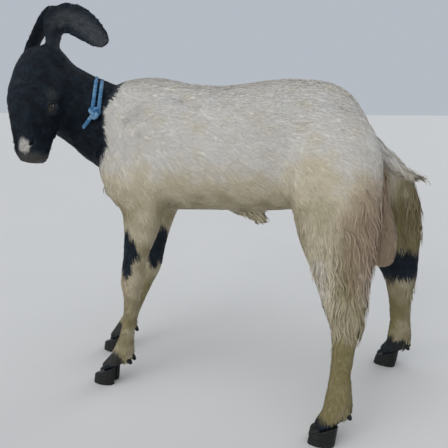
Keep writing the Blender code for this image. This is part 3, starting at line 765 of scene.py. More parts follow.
            # the deep middle of each nostril is marked for painted shade
            pit = np.maximum(pit, smoothstep(hole, 0.0012, 0.0032))
            bare = np.maximum(bare, smoothstep(hole, 0.0002, 0.0010))
        mouth, lips = MouthLine().depth(local)
        depth += mouth
        pit = np.maximum(pit, smoothstep(mouth, 0.0008, 0.0018))
        bare = np.maximum(bare, lips)
        for fold in FOLDS:
            depth += fold.depth(self.points)
        on_head = self.spread(self.on(Part.HEAD).astype(float), 2)
        for form in HEAD_FORMS:
            depth += form.depth(local) * on_head
        cup, self.known["inner"] = self._cup_ears(local, normals)
        depth += cup
        self.points = self.points - normals * depth[:, None]
        self.known["pit"] = pit
        self.known["bare"] = bare

    def _ears(self, local: Array) -> Iterator[tuple[str, Array, Array]]:
        """Each ear's side, which points are on it, and its middle line's stations."""
        for side, line in EAR_LINES.items():
            ear = self.on(Part.EAR) & ((local[:, 0] > EAR_PARTING) == (side == "left"))
            yield side, ear, np.array([self.head.world(*station) for station in line])

    def _cup_ears(self, local: Array, normals: Array) -> tuple[Array, Array]:
        """How far each ear's inner face is hollowed, and where that face is."""
        cup, inner = np.zeros(len(local)), np.zeros(len(local))
        for side, ear, stations in self._ears(local):
            runs, step = stations[:-1], np.diff(stations, axis=0)
            there = self.points[ear][:, None] - runs[None]
            share = np.clip(np.einsum("pkj,kj->pk", there, step) / np.sum(step ** 2, axis=1), 0, 1)
            foot = runs[None] + share[..., None] * step[None]
            gap = np.linalg.norm(self.points[ear][:, None] - foot, axis=2)
            nearest = gap.argmin(axis=1)
            blade = smoothstep(nearest + share[np.arange(len(gap)), nearest], 0.6, 2.4)
            faces = normals[ear] @ unit(np.array(EAR_FACING[side]))
            middle = smoothstep(gap.min(axis=1), 0.022, 0.008) * smoothstep(faces, 0.2, 0.6)
            cup[ear] = EAR_CUP * middle * blade
            inner[ear] = middle * (0.4 + 0.6 * blade)
        return cup, inner

    def _flow(self) -> None:
        """Work out which way the coat lies at each point, and how it grows there."""
        points, normals = self.points, self.normals()
        local = self.head.local(points)
        head = self.head
        above = smoothstep(local[:, 2], 0.10, 0.06)[:, None]
        cheek = smoothstep(local[:, 1], 0.0, -0.04)[:, None]
        face = head.along * (1 - above) - (head.along * 0.4 + head.out) * above
        face = face * (1 - cheek) + (head.along * 0.5 - head.out) * cheek
        front = smoothstep(points[:, 0], -0.08, -0.20)[:, None]
        rump = smoothstep(points[:, 0], 0.24, 0.34)[:, None]
        low = smoothstep(points[:, 2], 0.54, 0.40)[:, None]
        trunk = (np.array((1.0, 0.0, -0.12)) + low * np.array((0.0, 0.0, -0.75))
                 + front * np.array((-0.35, 0.0, -0.35)) + rump * np.array((-0.6, 0.0, -0.8)))
        upper, lower = np.array((0.22, 0.0, -1.0)), np.array((0.10, 0.0, -1.0))
        lie = {Part.HEAD: face, Part.NECK: unit(np.array(NECK_AXIS) + np.array((0.0, 0.0, -0.35))),
               Part.TRUNK: trunk, Part.FORE_UPPER: upper, Part.HIND_UPPER: upper, Part.FORE_LOWER: lower,
               Part.HIND_LOWER: lower, Part.SCROTUM: np.array((0.0, 0.0, -1.0)),
               Part.TAIL: np.array(TAIL_AXIS)}
        way = np.zeros_like(points)
        for part, ways in lie.items():
            way = np.where(self.on(part)[:, None], ways, way)
        for _, ear, stations in self._ears(local):
            steps = np.diff(stations, axis=0)
            middles = (stations[1:] + stations[:-1]) / 2
            nearest = np.argmin(np.linalg.norm(points[ear][:, None] - middles[None], axis=2), axis=1)
            way[ear] = steps[nearest]
        swirl = np.stack([ripple(points, 0.09, 20 + k) for k in range(3)], axis=1)
        way = unit(way) + 0.12 * swirl
        edges = self.edges()
        way = self.spread(unit(way), 24, edges)
        way = way - normals * np.sum(way * normals, axis=1, keepdims=True)
        self.known.update(zip(WAYS, unit(way).T))
        for trait in ("length", "width", "rise", "cover", "fall"):
            numbers = np.array([getattr(part.value, trait) for part in PARTS])[self.known["part"]]
            self.known[trait] = self.spread(numbers, 10, edges)

    def piece(self, finish: CoatFinish) -> bpy.types.Object:
        """Make the skin's mesh and its object."""
        mesh = mesh_of("skin", self.points, self.triangles)
        carry(mesh, {name: self.known[name] for name in ("dark", "stain_and_shade", "rose", "bare")})
        return place("skin", mesh, finish.skin())


# Where a limb's muscles flow into the trunk's, and the neck's into the shoulder's.
LIMB_ROOTS = (
    Spot((0.185, -0.105, 0.440), (0.050, 0.070, 0.080), 1.0, 0.0),  # near thigh
    Spot((0.205, 0.105, 0.440), (0.050, 0.070, 0.080), 1.0, 0.0),  # far thigh
    Spot((-0.105, -0.090, 0.420), (0.040, 0.060, 0.070), 1.0, 0.0),  # near foreleg
    Spot((-0.115, 0.090, 0.420), (0.040, 0.060, 0.070), 1.0, 0.0),  # far foreleg
    Spot((-0.296, -0.035, 0.632), (0.046, 0.056, 0.044), 1.0, 0.0),  # nape
    Spot((-0.226, -0.020, 0.402), (0.044, 0.060, 0.040), 0.9, 0.0),  # brisket
    Spot((0.256, -0.075, 0.553), (0.044, 0.036, 0.026), 0.8, 0.0),  # near hip
    Spot((0.272, 0.078, 0.553), (0.044, 0.036, 0.026), 0.8, 0.0),  # far hip
)

# The white on the nose, in the head's own axes, and the thick hair under the collar's knot.
NOSE_PATCH = Spot((0.0075, 0.020, 0.1895), (0.0128, 0.018, 0.0135), 1.0, 0.10)
UNDER_KNOT = Spot((-0.262, -0.075, 0.495), (0.035, 0.060, 0.045))

# Where the neck's black ends and the trunk's white begins, and the way the neck runs back.
MANTLE_EDGE = (-0.213, -0.066, 0.520)
NECK_AXIS = (0.93, 0.30, -0.20)
TAIL_AXIS = (0.72, 0.0, -0.69)  # the way the tail hangs

# Places of colour. Each stain has the worth that it draws the yellow towards.
BLACK_SPOTS = (
    Spot((-0.213, -0.032, 0.590), (0.020, 0.044, 0.024), 0.95),  # top of the shoulder
    Spot((-0.160, -0.098, 0.280), (0.030, 0.036, 0.046)),  # near forearm
    Spot((-0.167, 0.056, 0.256), (0.032, 0.036, 0.050)),  # far forearm
    Spot((0.346, 0.104, 0.257), (0.066, 0.058, 0.036), 1.0, 0.10),  # far hock
    Spot((-0.185, -0.120, 0.048), (0.030, 0.040, 0.026), 0.9),  # near fore pastern
    Spot((-0.265, 0.000, 0.048), (0.045, 0.040, 0.026), 0.9),  # far fore pastern
    Spot((0.352, 0.148, 0.050), (0.050, 0.045, 0.026), 0.95),  # far hind pastern
)
STAIN_SPOTS = (
    (Spot((0.270, -0.155, 0.110), (0.030, 0.040, 0.090)), 1.0),  # near hind cannon
    (Spot((0.330, 0.150, 0.130), (0.030, 0.060, 0.080)), 1.0),  # far hind cannon
    # far thigh: mostly painted shade of the thigh lying in shadow, with some real yellowing
    (Spot((0.360, 0.110, 0.360), (0.070, 0.060, 0.090), 1.0, 0.40), 0.95),  # far thigh
    (Spot((0.285, -0.140, 0.300), (0.018, 0.040, 0.090)), 0.80),  # a dirty stripe down the near gaskin
    (Spot((0.232, -0.150, 0.270), (0.024, 0.040, 0.080)), 0.16),  # its clean front edge
    (Spot((0.315, -0.130, 0.270), (0.016, 0.040, 0.070)), 0.20),  # its clean back edge
    (Spot((0.210, -0.120, 0.452), (0.060, 0.050, 0.040)), 0.38),  # yellowed front of the hip
    (Spot((0.050, 0.000, 0.370), (0.300, 0.080, 0.050)), 0.60),  # belly
    (Spot((0.215, -0.140, 0.372), (0.042, 0.050, 0.050)), 0.62),  # front of the near thigh
    (Spot((0.300, -0.130, 0.215), (0.050, 0.050, 0.040)), 0.74),  # near hock
)
ROSE_SPOTS = (
    Spot((0.060, -0.030, 0.605), (0.220, 0.050, 0.030), 0.10),  # the back
    Spot((-0.160, -0.105, 0.210), (0.050, 0.040, 0.030), 0.30),  # near knee
    # rosy brown on the back of the near thigh: partly the hair's own tint, partly painted shade on the
    # thigh's shaded side
    Spot((0.310, -0.105, 0.365), (0.046, 0.060, 0.085), 0.92),  # back of the near thigh
)


@dataclass(frozen=True)
class Markings:
    """How black, how yellowed and how rosy each point of the skin is, from 0 to 1."""

    nose_white: float = 0.80
    lip_grey: float = 0.11
    # the ear's inner face: partly its own thinner-haired skin, partly a painted reflection
    inner_ear_grey_and_reflection: float = 0.055
    # painted highlight over the brows
    painted_brow_highlight: float = 0.05
    leg_stain: float = 0.76
    rump_stain: float = 0.7
    scrotum_stain: float = 0.62
    scrotum_rose: float = 0.80
    lip_rose: float = 0.35
    knot_rise: float = 0.0030  # how much higher, and how much denser, the hair stands under the knot
    knot_cover: float = 1.2

    def paint(self, skin: Skin) -> None:
        """Give the skin its markings, and its thick hair under the knot."""
        local = skin.head.local(skin.points)
        lips = smoothstep(local[:, 2], 0.196, 0.206) * smoothstep(np.abs(local[:, 0]), 0.05, 0.03)
        lips = lips * skin.on(Part.HEAD)
        known = skin.known
        known["dark"] = self._black(skin, local, lips)
        known["stain_and_shade"] = self._stained(skin)
        known["rose"] = self._rosy(skin, lips)
        buried = UNDER_KNOT.mask(skin.points, 12, 0.3)
        known["rise"] = known["rise"] + self.knot_rise * buried
        known["cover"] = known["cover"] * (1 + self.knot_cover * buried)

    def _black(self, skin: Skin, local: Array, lips: Array) -> Array:
        """The black head and neck, the black spots and the pasterns, paler at the nose and the lips, with a
        painted highlight over the brows and painted shade in the nostrils and the mouth line.
        """
        points = skin.points
        beyond = (points - np.array(MANTLE_EDGE)) @ unit(np.array(NECK_AXIS))
        beyond = beyond + 0.007 * ripple(points, 0.05, 3) + 0.003 * ripple(points, 0.014, 4)
        mantle = smoothstep(beyond, 0.004, -0.004) * smoothstep(points[:, 2], 0.40, 0.42)
        dark = np.maximum(mantle, skin.on(Part.HEAD, Part.EAR))
        for number, spot in enumerate(BLACK_SPOTS):
            dark = np.maximum(dark, spot.mask(points, 30 + number))
        pastern = smoothstep(points[:, 2] + 0.004 * ripple(points, 0.02, 8), 0.052, 0.040)
        dark = np.maximum(dark, pastern)
        patch = NOSE_PATCH.mask(local, 9, 0.24)
        dark = dark * (1 - self.nose_white * patch) * (1 - self.lip_grey * lips)
        # the ear's inner face is paler: partly its own thinner-haired skin, partly a painted reflection
        dark = dark * (1 - self.inner_ear_grey_and_reflection * skin.known["inner"])
        # painted highlight: the black over each brow is paled a little, where light catches the brow ridge
        for side in SIDES.values():
            brow = Spot((side * 0.049, 0.002, 0.094), (0.010, 0.013, 0.013), 1.0, 0.3).mask(local, 13, 0.7)
            dark = dark * (1 - self.painted_brow_highlight * brow)
        # painted shade: the nostril holes and the mouth line are painted black
        return np.maximum(dark, skin.known["pit"])

    def _stained(self, skin: Skin) -> Array:
        """The yellow that deepens towards the belly, the rump's foot and the legs, with its own spots:
        partly real yellowing and partly painted shade of the lower body and the far thigh.
        """
        points = skin.points
        # yellower and darker towards the bottom: partly real yellowing, partly painted shade
        stain_and_shade = 0.55 * smoothstep(points[:, 2], 0.50, 0.36) + 0.10
        stain_and_shade = np.where(skin.on(Part.FORE_LOWER, Part.HIND_LOWER), self.leg_stain, stain_and_shade)
        behind = smoothstep(points[:, 0], 0.26, 0.31) * smoothstep(points[:, 2], 0.42, 0.30)
        stain_and_shade = np.maximum(stain_and_shade, self.rump_stain * behind)
        stain_and_shade = np.where(skin.on(Part.SCROTUM), self.scrotum_stain, stain_and_shade)
        for number, (spot, worth) in enumerate(STAIN_SPOTS):
            stain_and_shade = stain_and_shade + (worth - stain_and_shade) * spot.mask(points, 50 + number, 0.5)
        return np.clip(skin.spread(stain_and_shade, 8) + 0.08 * ripple(points, 0.035, 11), 0.0, 1.0)

    def _rosy(self, skin: Skin, lips: Array) -> Array:
        """The pink that shows through thin hair, and the rosy brown on the back of the near thigh, which is
        partly painted shade.
        """
        rose = self.scrotum_rose * skin.on(Part.SCROTUM) + self.lip_rose * lips + 0.05
        for number, spot in enumerate(ROSE_SPOTS):
            rose = np.maximum(rose, spot.mask(skin.points, 70 + number, 0.6))
        return np.clip(skin.spread(rose, 6), 0.0, 1.0)


# Each ear's middle line from root to tip, in the head's own axes, and the way its inner face looks.
EAR_LINES = {
    "left": ((0.030, -0.030, 0.014), (0.018, -0.034, -0.030), (0.014, -0.038, -0.066),
             (0.029, -0.042, -0.079), (0.060, -0.046, -0.069), (0.093, -0.050, -0.045),
             (0.126, -0.054, -0.017)),
    "right": ((-0.038, -0.030, 0.014), (-0.034, -0.033, -0.020), (-0.022, -0.040, -0.056),
              (-0.018, -0.056, -0.086), (-0.028, -0.082, -0.093), (-0.046, -0.106, -0.074),
              (-0.058, -0.118, -0.044)),
}
EAR_FACING = {"left": (0.1, -1.0, -0.2), "right": (-1.0, -0.1, -0.1)}
EAR_PARTING = -0.006  # further than this to the head's left is the left ear
EAR_CUP = 0.0026  # how deep each ear's inner face is hollowed


@dataclass(frozen=True)
class Form:
    """A hollow, or a swelling where deep is negative, on both sides of the head, in its frame."""

    middle: Triple
    radii: Triple
    deep: float

    def depth(self, local: Array) -> Array:
        """How far each point is drawn in."""
        total = np.zeros(len(local))
        for side in SIDES.values() if self.middle[0] else (1,):
            gap = (local - np.array(self.middle) * (side, 1, 1)) / np.array(self.radii)
            total += self.deep * np.exp(-np.sum(gap * gap, axis=1))
        return total


HEAD_FORMS = (
    Form((0.043, 0.012, 0.106), (0.013, 0.011, 0.017), -0.0055),  # brow over the eye
    Form((0.050, -0.004, 0.098), (0.014, 0.014, 0.010), -0.0040),  # behind the eye
    Form((0.050, -0.015, 0.121), (0.014, 0.008, 0.020), -0.0038),  # under the eye
    Form((0.044, 0.003, 0.134), (0.012, 0.010, 0.010), -0.0030),  # before the eye
    Form((0.034, 0.020, 0.148), (0.010, 0.012, 0.016), 0.0030),  # hollow of the cheek's front
    Form((0.050, -0.026, 0.134), (0.020, 0.008, 0.028), -0.0016),  # cheekbone
    Form((0.050, -0.042, 0.150), (0.020, 0.014, 0.026), 0.0036),  # hollow under it
    Form((0.034, 0.000, 0.162), (0.014, 0.016, 0.018), 0.0046),  # side of the muzzle
    Form((0.0, 0.040, 0.060), (0.014, 0.020, 0.030), 0.0012),  # between the brows
    Form((0.0, 0.028, 0.182), (0.017, 0.014, 0.016), 0.0056),  # flat front of the nose
    Form((0.022, 0.012, 0.196), (0.010, 0.014, 0.008), -0.0010),  # nostril wing
    Form((0.024, -0.014, 0.196), (0.012, 0.008, 0.014), -0.0016),  # upper lip
    Form((0.0, -0.040, 0.196), (0.016, 0.010, 0.012), -0.0010),  # chin
    Form((0.046, -0.052, 0.060), (0.016, 0.020, 0.026), -0.0020),  # jaw muscle
    Form((0.044, -0.010, 0.030), (0.010, 0.012, 0.012), 0.0026),  # mouth of the ear
)


@dataclass(frozen=True)
class Shag:
    """A place where the coat grows long, how long it is, and how deep the skin lies there."""

    spot: Spot
    length: float
    inset: float
    cover: float = 2.2
    fall: float = 0.55


SHAGS = (
    Shag(Spot((0.330, -0.115, 0.350), (0.042, 0.050, 0.085)), 0.058, 0.0016),  # back of the near thigh
    Shag(Spot((0.285, -0.145, 0.290), (0.060, 0.040, 0.075)), 0.040, 0.0008, 1.5),  # side of it
    Shag(Spot((0.390, 0.105, 0.378), (0.046, 0.056, 0.052)), 0.050, 0.0016),  # back of the far thigh
    Shag(Spot((0.345, 0.130, 0.372), (0.060, 0.040, 0.050)), 0.036, 0.0008, 1.4),  # side of it
    Shag(Spot((0.352, 0.000, 0.452), (0.050, 0.030, 0.045)), 0.032, 0.0010, 4.2, 0.7),  # tail
    Shag(Spot((0.322, -0.138, 0.222), (0.022, 0.030, 0.032)), 0.036, 0.0006, 2.6),  # near hock
    Shag(Spot((0.392, 0.128, 0.190), (0.018, 0.030, 0.016)), 0.022, 0.0006, 1.6),  # far hock
    Shag(Spot((0.232, -0.150, 0.225), (0.014, 0.022, 0.018)), 0.024, 0.0004, 2.0, 0.2),  # gaskin
    Shag(Spot((-0.225, -0.020, 0.395), (0.035, 0.045, 0.030)), 0.030, 0.0014, 2.0),  # brisket
    Shag(Spot((0.065, -0.005, 0.352), (0.040, 0.024, 0.014)), 0.014, 0.0006, 1.6),  # sheath
)


@dataclass(frozen=True)
class Fold:
    """A soft crease in the skin between two places."""

    start: Triple
    end: Triple
    deep: float
    wide: float

    def depth(self, points: Array) -> Array:
        """How far the crease draws each point in."""
        start, end = np.array(self.start), np.array(self.end)
        run = end - start
        share = np.clip((points - start) @ run / (run @ run), 0.0, 1.0)
        gap = np.linalg.norm(points - start - share[:, None] * run, axis=1)
        fade = np.sin(np.clip(share, 0.03, 0.97) * math.pi)
        crease = np.exp(-(gap / self.wide) ** 2)
        banks = np.exp(-((gap - 1.9 * self.wide) / self.wide) ** 2)
        return self.deep * fade * (crease - 0.45 * banks)


FOLDS = (
    Fold((-0.104, -0.073, 0.562), (-0.176, -0.084, 0.512), 0.0085, 0.012),
    Fold((-0.088, -0.046, 0.590), (-0.026, -0.066, 0.570), 0.0060, 0.011),
    Fold((-0.120, -0.095, 0.470), (-0.100, -0.100, 0.390), 0.0040, 0.011),
    Fold((0.195, -0.105, 0.470), (0.215, -0.120, 0.370), 0.0040, 0.012),
    Fold((-0.120, 0.090, 0.470), (-0.100, 0.095, 0.390), 0.0040, 0.011),
    Fold((0.215, 0.105, 0.470), (0.235, 0.115, 0.370), 0.0040, 0.012),
    Fold((0.353, 0.0085, 0.256), (0.345, 0.0085, 0.400), 0.0065, 0.009),
    Fold((0.366, 0.0085, 0.272), (0.285, 0.0085, 0.268), 0.0050, 0.009),
)


# --- the head's features ------------------------------------------------------------------


@dataclass(frozen=True)
class EyePlace:
    """One eye: where it is, where it looks, and how its lids open round it."""

    middle: Array
    look: Array
    fore: Array
    brow: Array
    radius: float = 0.0112
    half_length: float = 0.0104
    half_height: float = 0.0062
    lid: float = 0.0010
    roll: float = 0.0010  # how much thicker the lid is behind its edge
    around: float = 0.026  # how far from the eye's middle the skin is shaped

    @classmethod
    def found(cls, head: HeadPlace, side: int) -> "EyePlace":
        """The eye on the left (side 1) or the right (side -1)."""
        middle = node_middle("eye_left" if side > 0 else "eye_right")
        look = unit(head.left * side * 0.88 + head.out * 0.44 - head.along * 0.06)
        fore = head.along * 0.86 + head.out * 0.38
        fore = unit(fore - look * (fore @ look))
        brow = np.cross(look, fore) * side
        if brow @ (head.out - head.along * 0.6) < 0:
            brow = -brow
        return cls(middle, look, fore, brow)

    def open_in(self, skin: Skin) -> Array:
        """Part the lids in the skin, and return where it is bare."""
        offset = skin.points - self.middle
        near = np.linalg.norm(offset, axis=1) < self.around
        there = offset[near]
        reach = np.linalg.norm(there, axis=1)
        facing = there @ self.look
        oval = np.hypot(there @ self.fore / self.half_length, there @ self.brow / self.half_height)
        ahead = facing > 0.001
        opening = ahead & (oval < 1.0)
        lid = self.radius + self.lid + self.roll * np.exp(-((oval - 1.35) / 0.35) ** 2)
        cover = ahead & (oval >= 1.0) & (oval < 2.3)
        hug = smoothstep(oval, 2.3, 1.25)
        target = np.where(reach < lid, lid, reach + (np.minimum(reach, lid + 0.004) - reach) * hug)
        reach_new = np.where(cover, target, reach)
        reach_new = np.where(opening, self.radius * 0.70, reach_new)
        skin.points[near] = self.middle + there / reach[:, None] * reach_new[:, None]
        bare = np.zeros(len(skin.points))
        bare[near] = np.where(ahead, smoothstep(oval, 1.40, 1.12), 0.0)
        return bare

    def edge(self, angle: float, out: float) -> Array:
        """A point on the edge of the lids, this far over the eyeball."""
        across = (self.fore * math.cos(angle) * self.half_length
                  + self.brow * math.sin(angle) * self.half_height)
        reach = self.radius + out
        forward = math.sqrt(max(reach * reach - float(across @ across), 1e-9))
        return self.middle + across + self.look * forward


@dataclass(frozen=True)
class Nostril:
    """A comma-shaped nostril, in the head's own frame."""

    side: int
    aside: float = 0.0185
    out: float = 0.0095
    along: float = 0.1850
    long: float = 0.0082
    wide: float = 0.0034
    deep: float = 0.0062
    curl: float = 40.0  # how sharply the slit bends
    rim: float = 0.0010

    def depth(self, local: Array) -> Array:
        """How far the nostril draws each point in."""
        gap = local - np.array((self.side * self.aside, self.out, self.along))
        slant = unit(np.array((self.side * 0.55, -0.35, -0.75)))
        cross = unit(np.cross(slant, np.array((self.side * 0.75, 0.65, 0.1))))
        run, over = gap @ slant, gap @ cross
        over = over + self.curl * run * run
        reach = (run / self.long) ** 2 + (over / self.wide) ** 2
        near = np.linalg.norm(gap, axis=1) < 0.02
        rim = self.rim * np.exp(-((np.sqrt(reach) - 1.7) / 0.45) ** 2)
        return np.where(near, self.deep * np.exp(-reach) - rim, 0.0)


@dataclass(frozen=True)
class MouthLine:
    """The line between the lips, in the head's own frame."""

    lips: Triple = (0.0, -0.0230, 0.2145)
    back: Triple = (0.0, -0.0600, 0.0800)
    deep: float = 0.0026
    wide: float = 0.0016
    lip: float = 0.0008  # how far the lips swell beside it

    def depth(self, local: Array) -> tuple[Array, Array]:
        """How far the mouth draws each point in, and where the lips are bare."""
        lips, back = np.array(self.lips), np.array(self.back)
        ahead = unit(lips - back)
        up = np.cross(np.array((1.0, 0.0, 0.0)), ahead)
        gap = (local - lips) @ up
        along = smoothstep(local[:, 2], 0.125, 0.150) * (local[:, 1] < 0.03)
        line = np.exp(-(gap / self.wide) ** 2)
        lip = self.lip * np.exp(-((np.abs(gap) - 0.004) / 0.0025) ** 2)
        bare = smoothstep(np.abs(gap), 0.0045, 0.0025) * smoothstep(local[:, 2], 0.165, 0.185) * along
        return along * (self.deep * line - lip), bare


# --- the coat -----------------------------------------------------------------------------


@dataclass
class Bed:
    """A grid over the skin that gives the nearest skin point to any place close to it."""

    skin: Skin
    cell: float = 0.004
    reach: int = 4

    def __post_init__(self) -> None:
        """Fill the cells near the skin."""
        points = self.skin.points
        self.low = points.min(axis=0) - 0.03
        self.shape = (np.ceil((points.max(axis=0) + 0.03 - self.low) / self.cell)).astype(int)
        self.near = np.full(self.shape, -1, dtype=np.int32)
        cells = ((points - self.low) / self.cell).astype(int)
        self.near[tuple(cells.T)] = np.arange(len(points))
        for _ in range(self.reach):
            for axis in range(3):
                for shift in (1, -1):
                    other = np.roll(self.near, shift, axis=axis)
                    self.near = np.where(self.near < 0, other, self.near)

    def nearest(self, places: Array) -> Array:
        """The skin point near each place, or -1 far from the skin."""
        cells = ((places - self.low) / self.cell).astype(int)
        cells = np.clip(cells, 0, self.shape - 1)
        return self.near[tuple(cells.T)]


@dataclass
class Roots:
    """Where locks stand, and how each is to grow."""

    places: Array
    normals: Array
    ways: Array
    known: dict[str, Array]

    def chosen(self, mask: Array) -> "Roots":
        """Only some of the roots."""
        return Roots(self.places[mask], self.normals[mask], self.ways[mask],
                     {name: numbers[mask] for name, numbers in self.known.items()})


def lock_faces(sections: int) -> Array:
    """The triangles of one closed lock: three sides, a tip and a foot."""
    faces = []
    for low in range(0, 3 * (sections - 1), 3):
        for k, m in ((0, 1), (1, 2), (2, 0)):
            faces += [(low + k, low + 3 + m, low + 3 + k), (low + k, low + m, low + 3 + m)]
    last = 3 * (sections - 1)
    faces += [(last, last + 1, last + 3), (last + 1, last + 2, last + 3), (last + 2, last, last + 3)]
    return np.array([*faces, (0, 2, 1)])


# Each piece of the coat: its parts of the body, a lock's cross-sections before its tip, and its slot.
COAT_PIECES = {
    "coat_head": ((Part.HEAD,), 2, "black_coat"),
    "coat_ears": ((Part.EAR,), 2, "black_coat"),
    "coat_neck": ((Part.NECK,), 2, "black_coat"),
    "coat_trunk": ((Part.TRUNK,), 2, "white_coat"),
    "coat_tail": ((Part.TAIL, Part.SCROTUM), 4, "white_coat"),
    "coat_thighs": ((Part.HIND_UPPER,), 3, "white_coat"),
    "coat_forearms": ((Part.FORE_UPPER,), 2, "white_coat"),
    "coat_shins": ((Part.FORE_LOWER, Part.HIND_LOWER), 2, "yellowed_coat"),
}


@dataclass
class Coat:
    """The coat of solid locks that lies on the skin."""

    skin: Skin
    bed: Bed
    finish: CoatFinish
    chart: "Chart"
    most_faces: int = 190_000
    lean: float = 0.45  # how far a lock's two edges face aside
    crown: float = 0.30  # how high a lock's middle stands, to half its width
    root_depth: float = 0.0006
    stray: float = 0.15  # how far each lock's way strays from its neighbours'
    wave: float = 0.085  # how far a hanging lock swings aside, to its length
    clump: float = 0.7  # how unevenly hanging locks stand together
    roll: float = 0.14  # how far locks are rolled about their own length
    uv_patch: tuple[float, float] = (0.0015, 0.0030)  # a lock's half width and length on the map
    short_fill: float = 0.62  # the share of its length times its width that a lock covers
    long_fill: float = 0.60
    quick_share: float = 0.4
    tuft_rise: float = 0.0038
    tuft_width: float = 0.0027
    tuft_sections: int = 7
    short_seed: int = 101
    piece_seed: int = 200
    long_seed: int = 301

    def sow(self, density: Array, seed: int) -> Roots:
        """Scatter roots over the skin.

        Args:
            density: Roots to the square metre at each skin point.
            seed: For the scatter.

        Returns:
            The roots, with the skin's fields at each.
        """
        skin = self.skin
        rng = np.random.default_rng(seed)
        corners = skin.points[skin.triangles]
        sides = corners[:, 1] - corners[:, 0], corners[:, 2] - corners[:, 0]
        area = np.linalg.norm(np.cross(*sides), axis=1) / 2
        weight = np.cumsum(area * density[skin.triangles].mean(axis=1))
        count = int(weight[-1])
        face = np.minimum(np.searchsorted(weight, rng.random(count) * weight[-1]), len(area) - 1)
        share = rng.random((count, 2))
        fold = share.sum(axis=1) > 1
        share[fold] = 1 - share[fold]
        weights = np.column_stack([1 - share.sum(axis=1), share])[:, :, None]
        ends = skin.triangles[face]
        normals = unit((skin.normals()[ends] * weights).sum(axis=1))
        names = (*WAYS, "length", "width", "rise", "fall", "dark", "stain_and_shade", "rose")
        known = {name: (skin.known[name][ends] * weights[:, :, 0]).sum(axis=1) for name in names}
        known["part"] = skin.known["part"][ends[:, 0]]
        known["vary"] = rng.random(count)
        ways = unit(np.column_stack([known.pop(name) for name in WAYS]))
        return Roots((corners[face] * weights).sum(axis=1), normals, ways, known)

    def grow(self, roots: Roots, sections: int, seed: int) -> tuple[Array, Array]:
        """Lead each lock over the skin.

        Args:
            roots: Where they stand.
            sections: How many cross-sections each lock has before its tip.
            seed: For the locks' differences.

        Returns:
            The locks' middle lines and their outward ways, one row of stations a lock.
        """
        rng = np.random.default_rng(seed)
        count = len(roots.places)
        skin_normals = self.skin.normals()
        ways = np.column_stack([self.skin.known[name] for name in WAYS])
        way = unit(roots.ways + rng.normal(scale=self.stray, size=(count, 3)))
        step = roots.known["length"] * rng.uniform(0.6, 1.2, count) / sections
        sway = rng.uniform(0.0, 1.2, count) + 4.0 * ripple(roots.places, 0.030, 21)
        pace = rng.uniform(4.0, 6.0, count)
        swing = self.wave * roots.known["length"] * roots.known["fall"]
        clump = 1.0 + self.clump * ripple(roots.places, 0.013, 22) * (roots.known["fall"] > 0.5)
        rise = roots.known["rise"] * rng.uniform(0.6, 1.4, count) * clump
        place, normal = roots.places - roots.normals * self.root_depth, roots.normals
        line, outs = [place], [normal]
        down = np.array((0.0, 0.0, -1.0))
        for station in range(1, sections + 1):
            share = station / sections
            near = self.bed.nearest(place)
            known = near >= 0
            here = np.where(known[:, None], ways[near], way)
            way = unit(0.62 * way + 0.38 * here + 0.5 * roots.known["fall"][:, None] * share * down)
            aside = np.cross(way, normal) * (swing * np.sin(sway + pace * share))[:, None]
            place = place + way * step[:, None] + aside
            near = self.bed.nearest(place)
            known = near >= 0
            beneath = skin_normals[near]
            normal = unit(np.where(known[:, None], beneath * 0.7 + normal * 0.3, normal))
            height = np.sum((place - self.skin.points[near]) * beneath, axis=1)
            aim = rise * (0.35 + 0.65 * share)
            lift = np.where(height < aim, aim - height, (aim - height) * (0.75 - 0.55 * roots.known["fall"]))
            place = place + np.where(known, lift, 0.0)[:, None] * beneath
            line.append(place)
            outs.append(normal)
        return np.stack(line, axis=1), np.stack(outs, axis=1)

    def mesh(self, name: str, roots: Roots, sections: int, seed: int) -> bpy.types.Mesh:
        """Make closed locks, three-cornered across, that taper to a point.

        Args:
            name: The mesh's name.
            roots: Where the locks stand.
            sections: Cross-sections before the tip.
            seed: For the locks' differences.

        Returns:
            The mesh, with its markings and its bake map.
        """
        line, outs = self.grow(roots, sections, seed)
        count = len(line)
        rng = np.random.default_rng(seed + 1)
        along = unit(np.gradient(line, axis=1))
        side = unit(np.cross(along, outs))
        side = unit(side + outs * rng.normal(scale=self.roll, size=count)[:, None, None])
        shares = np.linspace(0, 1, sections + 1)
        bulge = np.sin(np.clip(shares * 0.80 + 0.22, 0, 1) * math.pi) ** 0.8
        half = (roots.known["width"] * rng.uniform(0.7, 1.3, count))[:, None] * bulge[None] / 2
        top = np.cross(side, along)
        ring = np.stack([line - side * half[..., None], line + top * half[..., None] * self.crown,
                         line + side * half[..., None]], axis=2)[:, :-1]
        points = np.concatenate([ring.reshape(count, -1, 3), line[:, -1:]], axis=1)
        each = points.shape[1]
        flat = (lock_faces(sections)[None] + (np.arange(count) * each)[:, None, None]).reshape(-1, 3)
        mesh = mesh_of(name, points.reshape(-1, 3), flat)
        tips = np.append(np.repeat(shares[:-1], 3), 1.0)
        across = np.append(np.tile((-1.0, 0.0, 1.0), sections), 0.0)
        fields = {key: np.repeat(roots.known[key], each) for key in ("dark", "stain_and_shade", "rose", "vary")}
        fields["hang"] = np.repeat(smoothstep(roots.known["length"], 0.026, 0.045), each)
        fields["tip"], fields["across"] = np.tile(tips, count), np.tile(across, count)
        carry(mesh, fields)
        mesh.normals_split_custom_set(self._facing(side, outs, sections, flat))
        patch = np.column_stack([across * self.uv_patch[0], (tips - 0.5) * self.uv_patch[1]])
        uv = (self.chart.places(roots.places)[:, None] + patch[None]).reshape(-1, 2)
        layer = mesh.uv_layers.new(name=UV_NAME)
        layer.data.foreach_set("uv", np.ascontiguousarray(uv[flat.ravel()], dtype=np.float32).ravel())
        return mesh

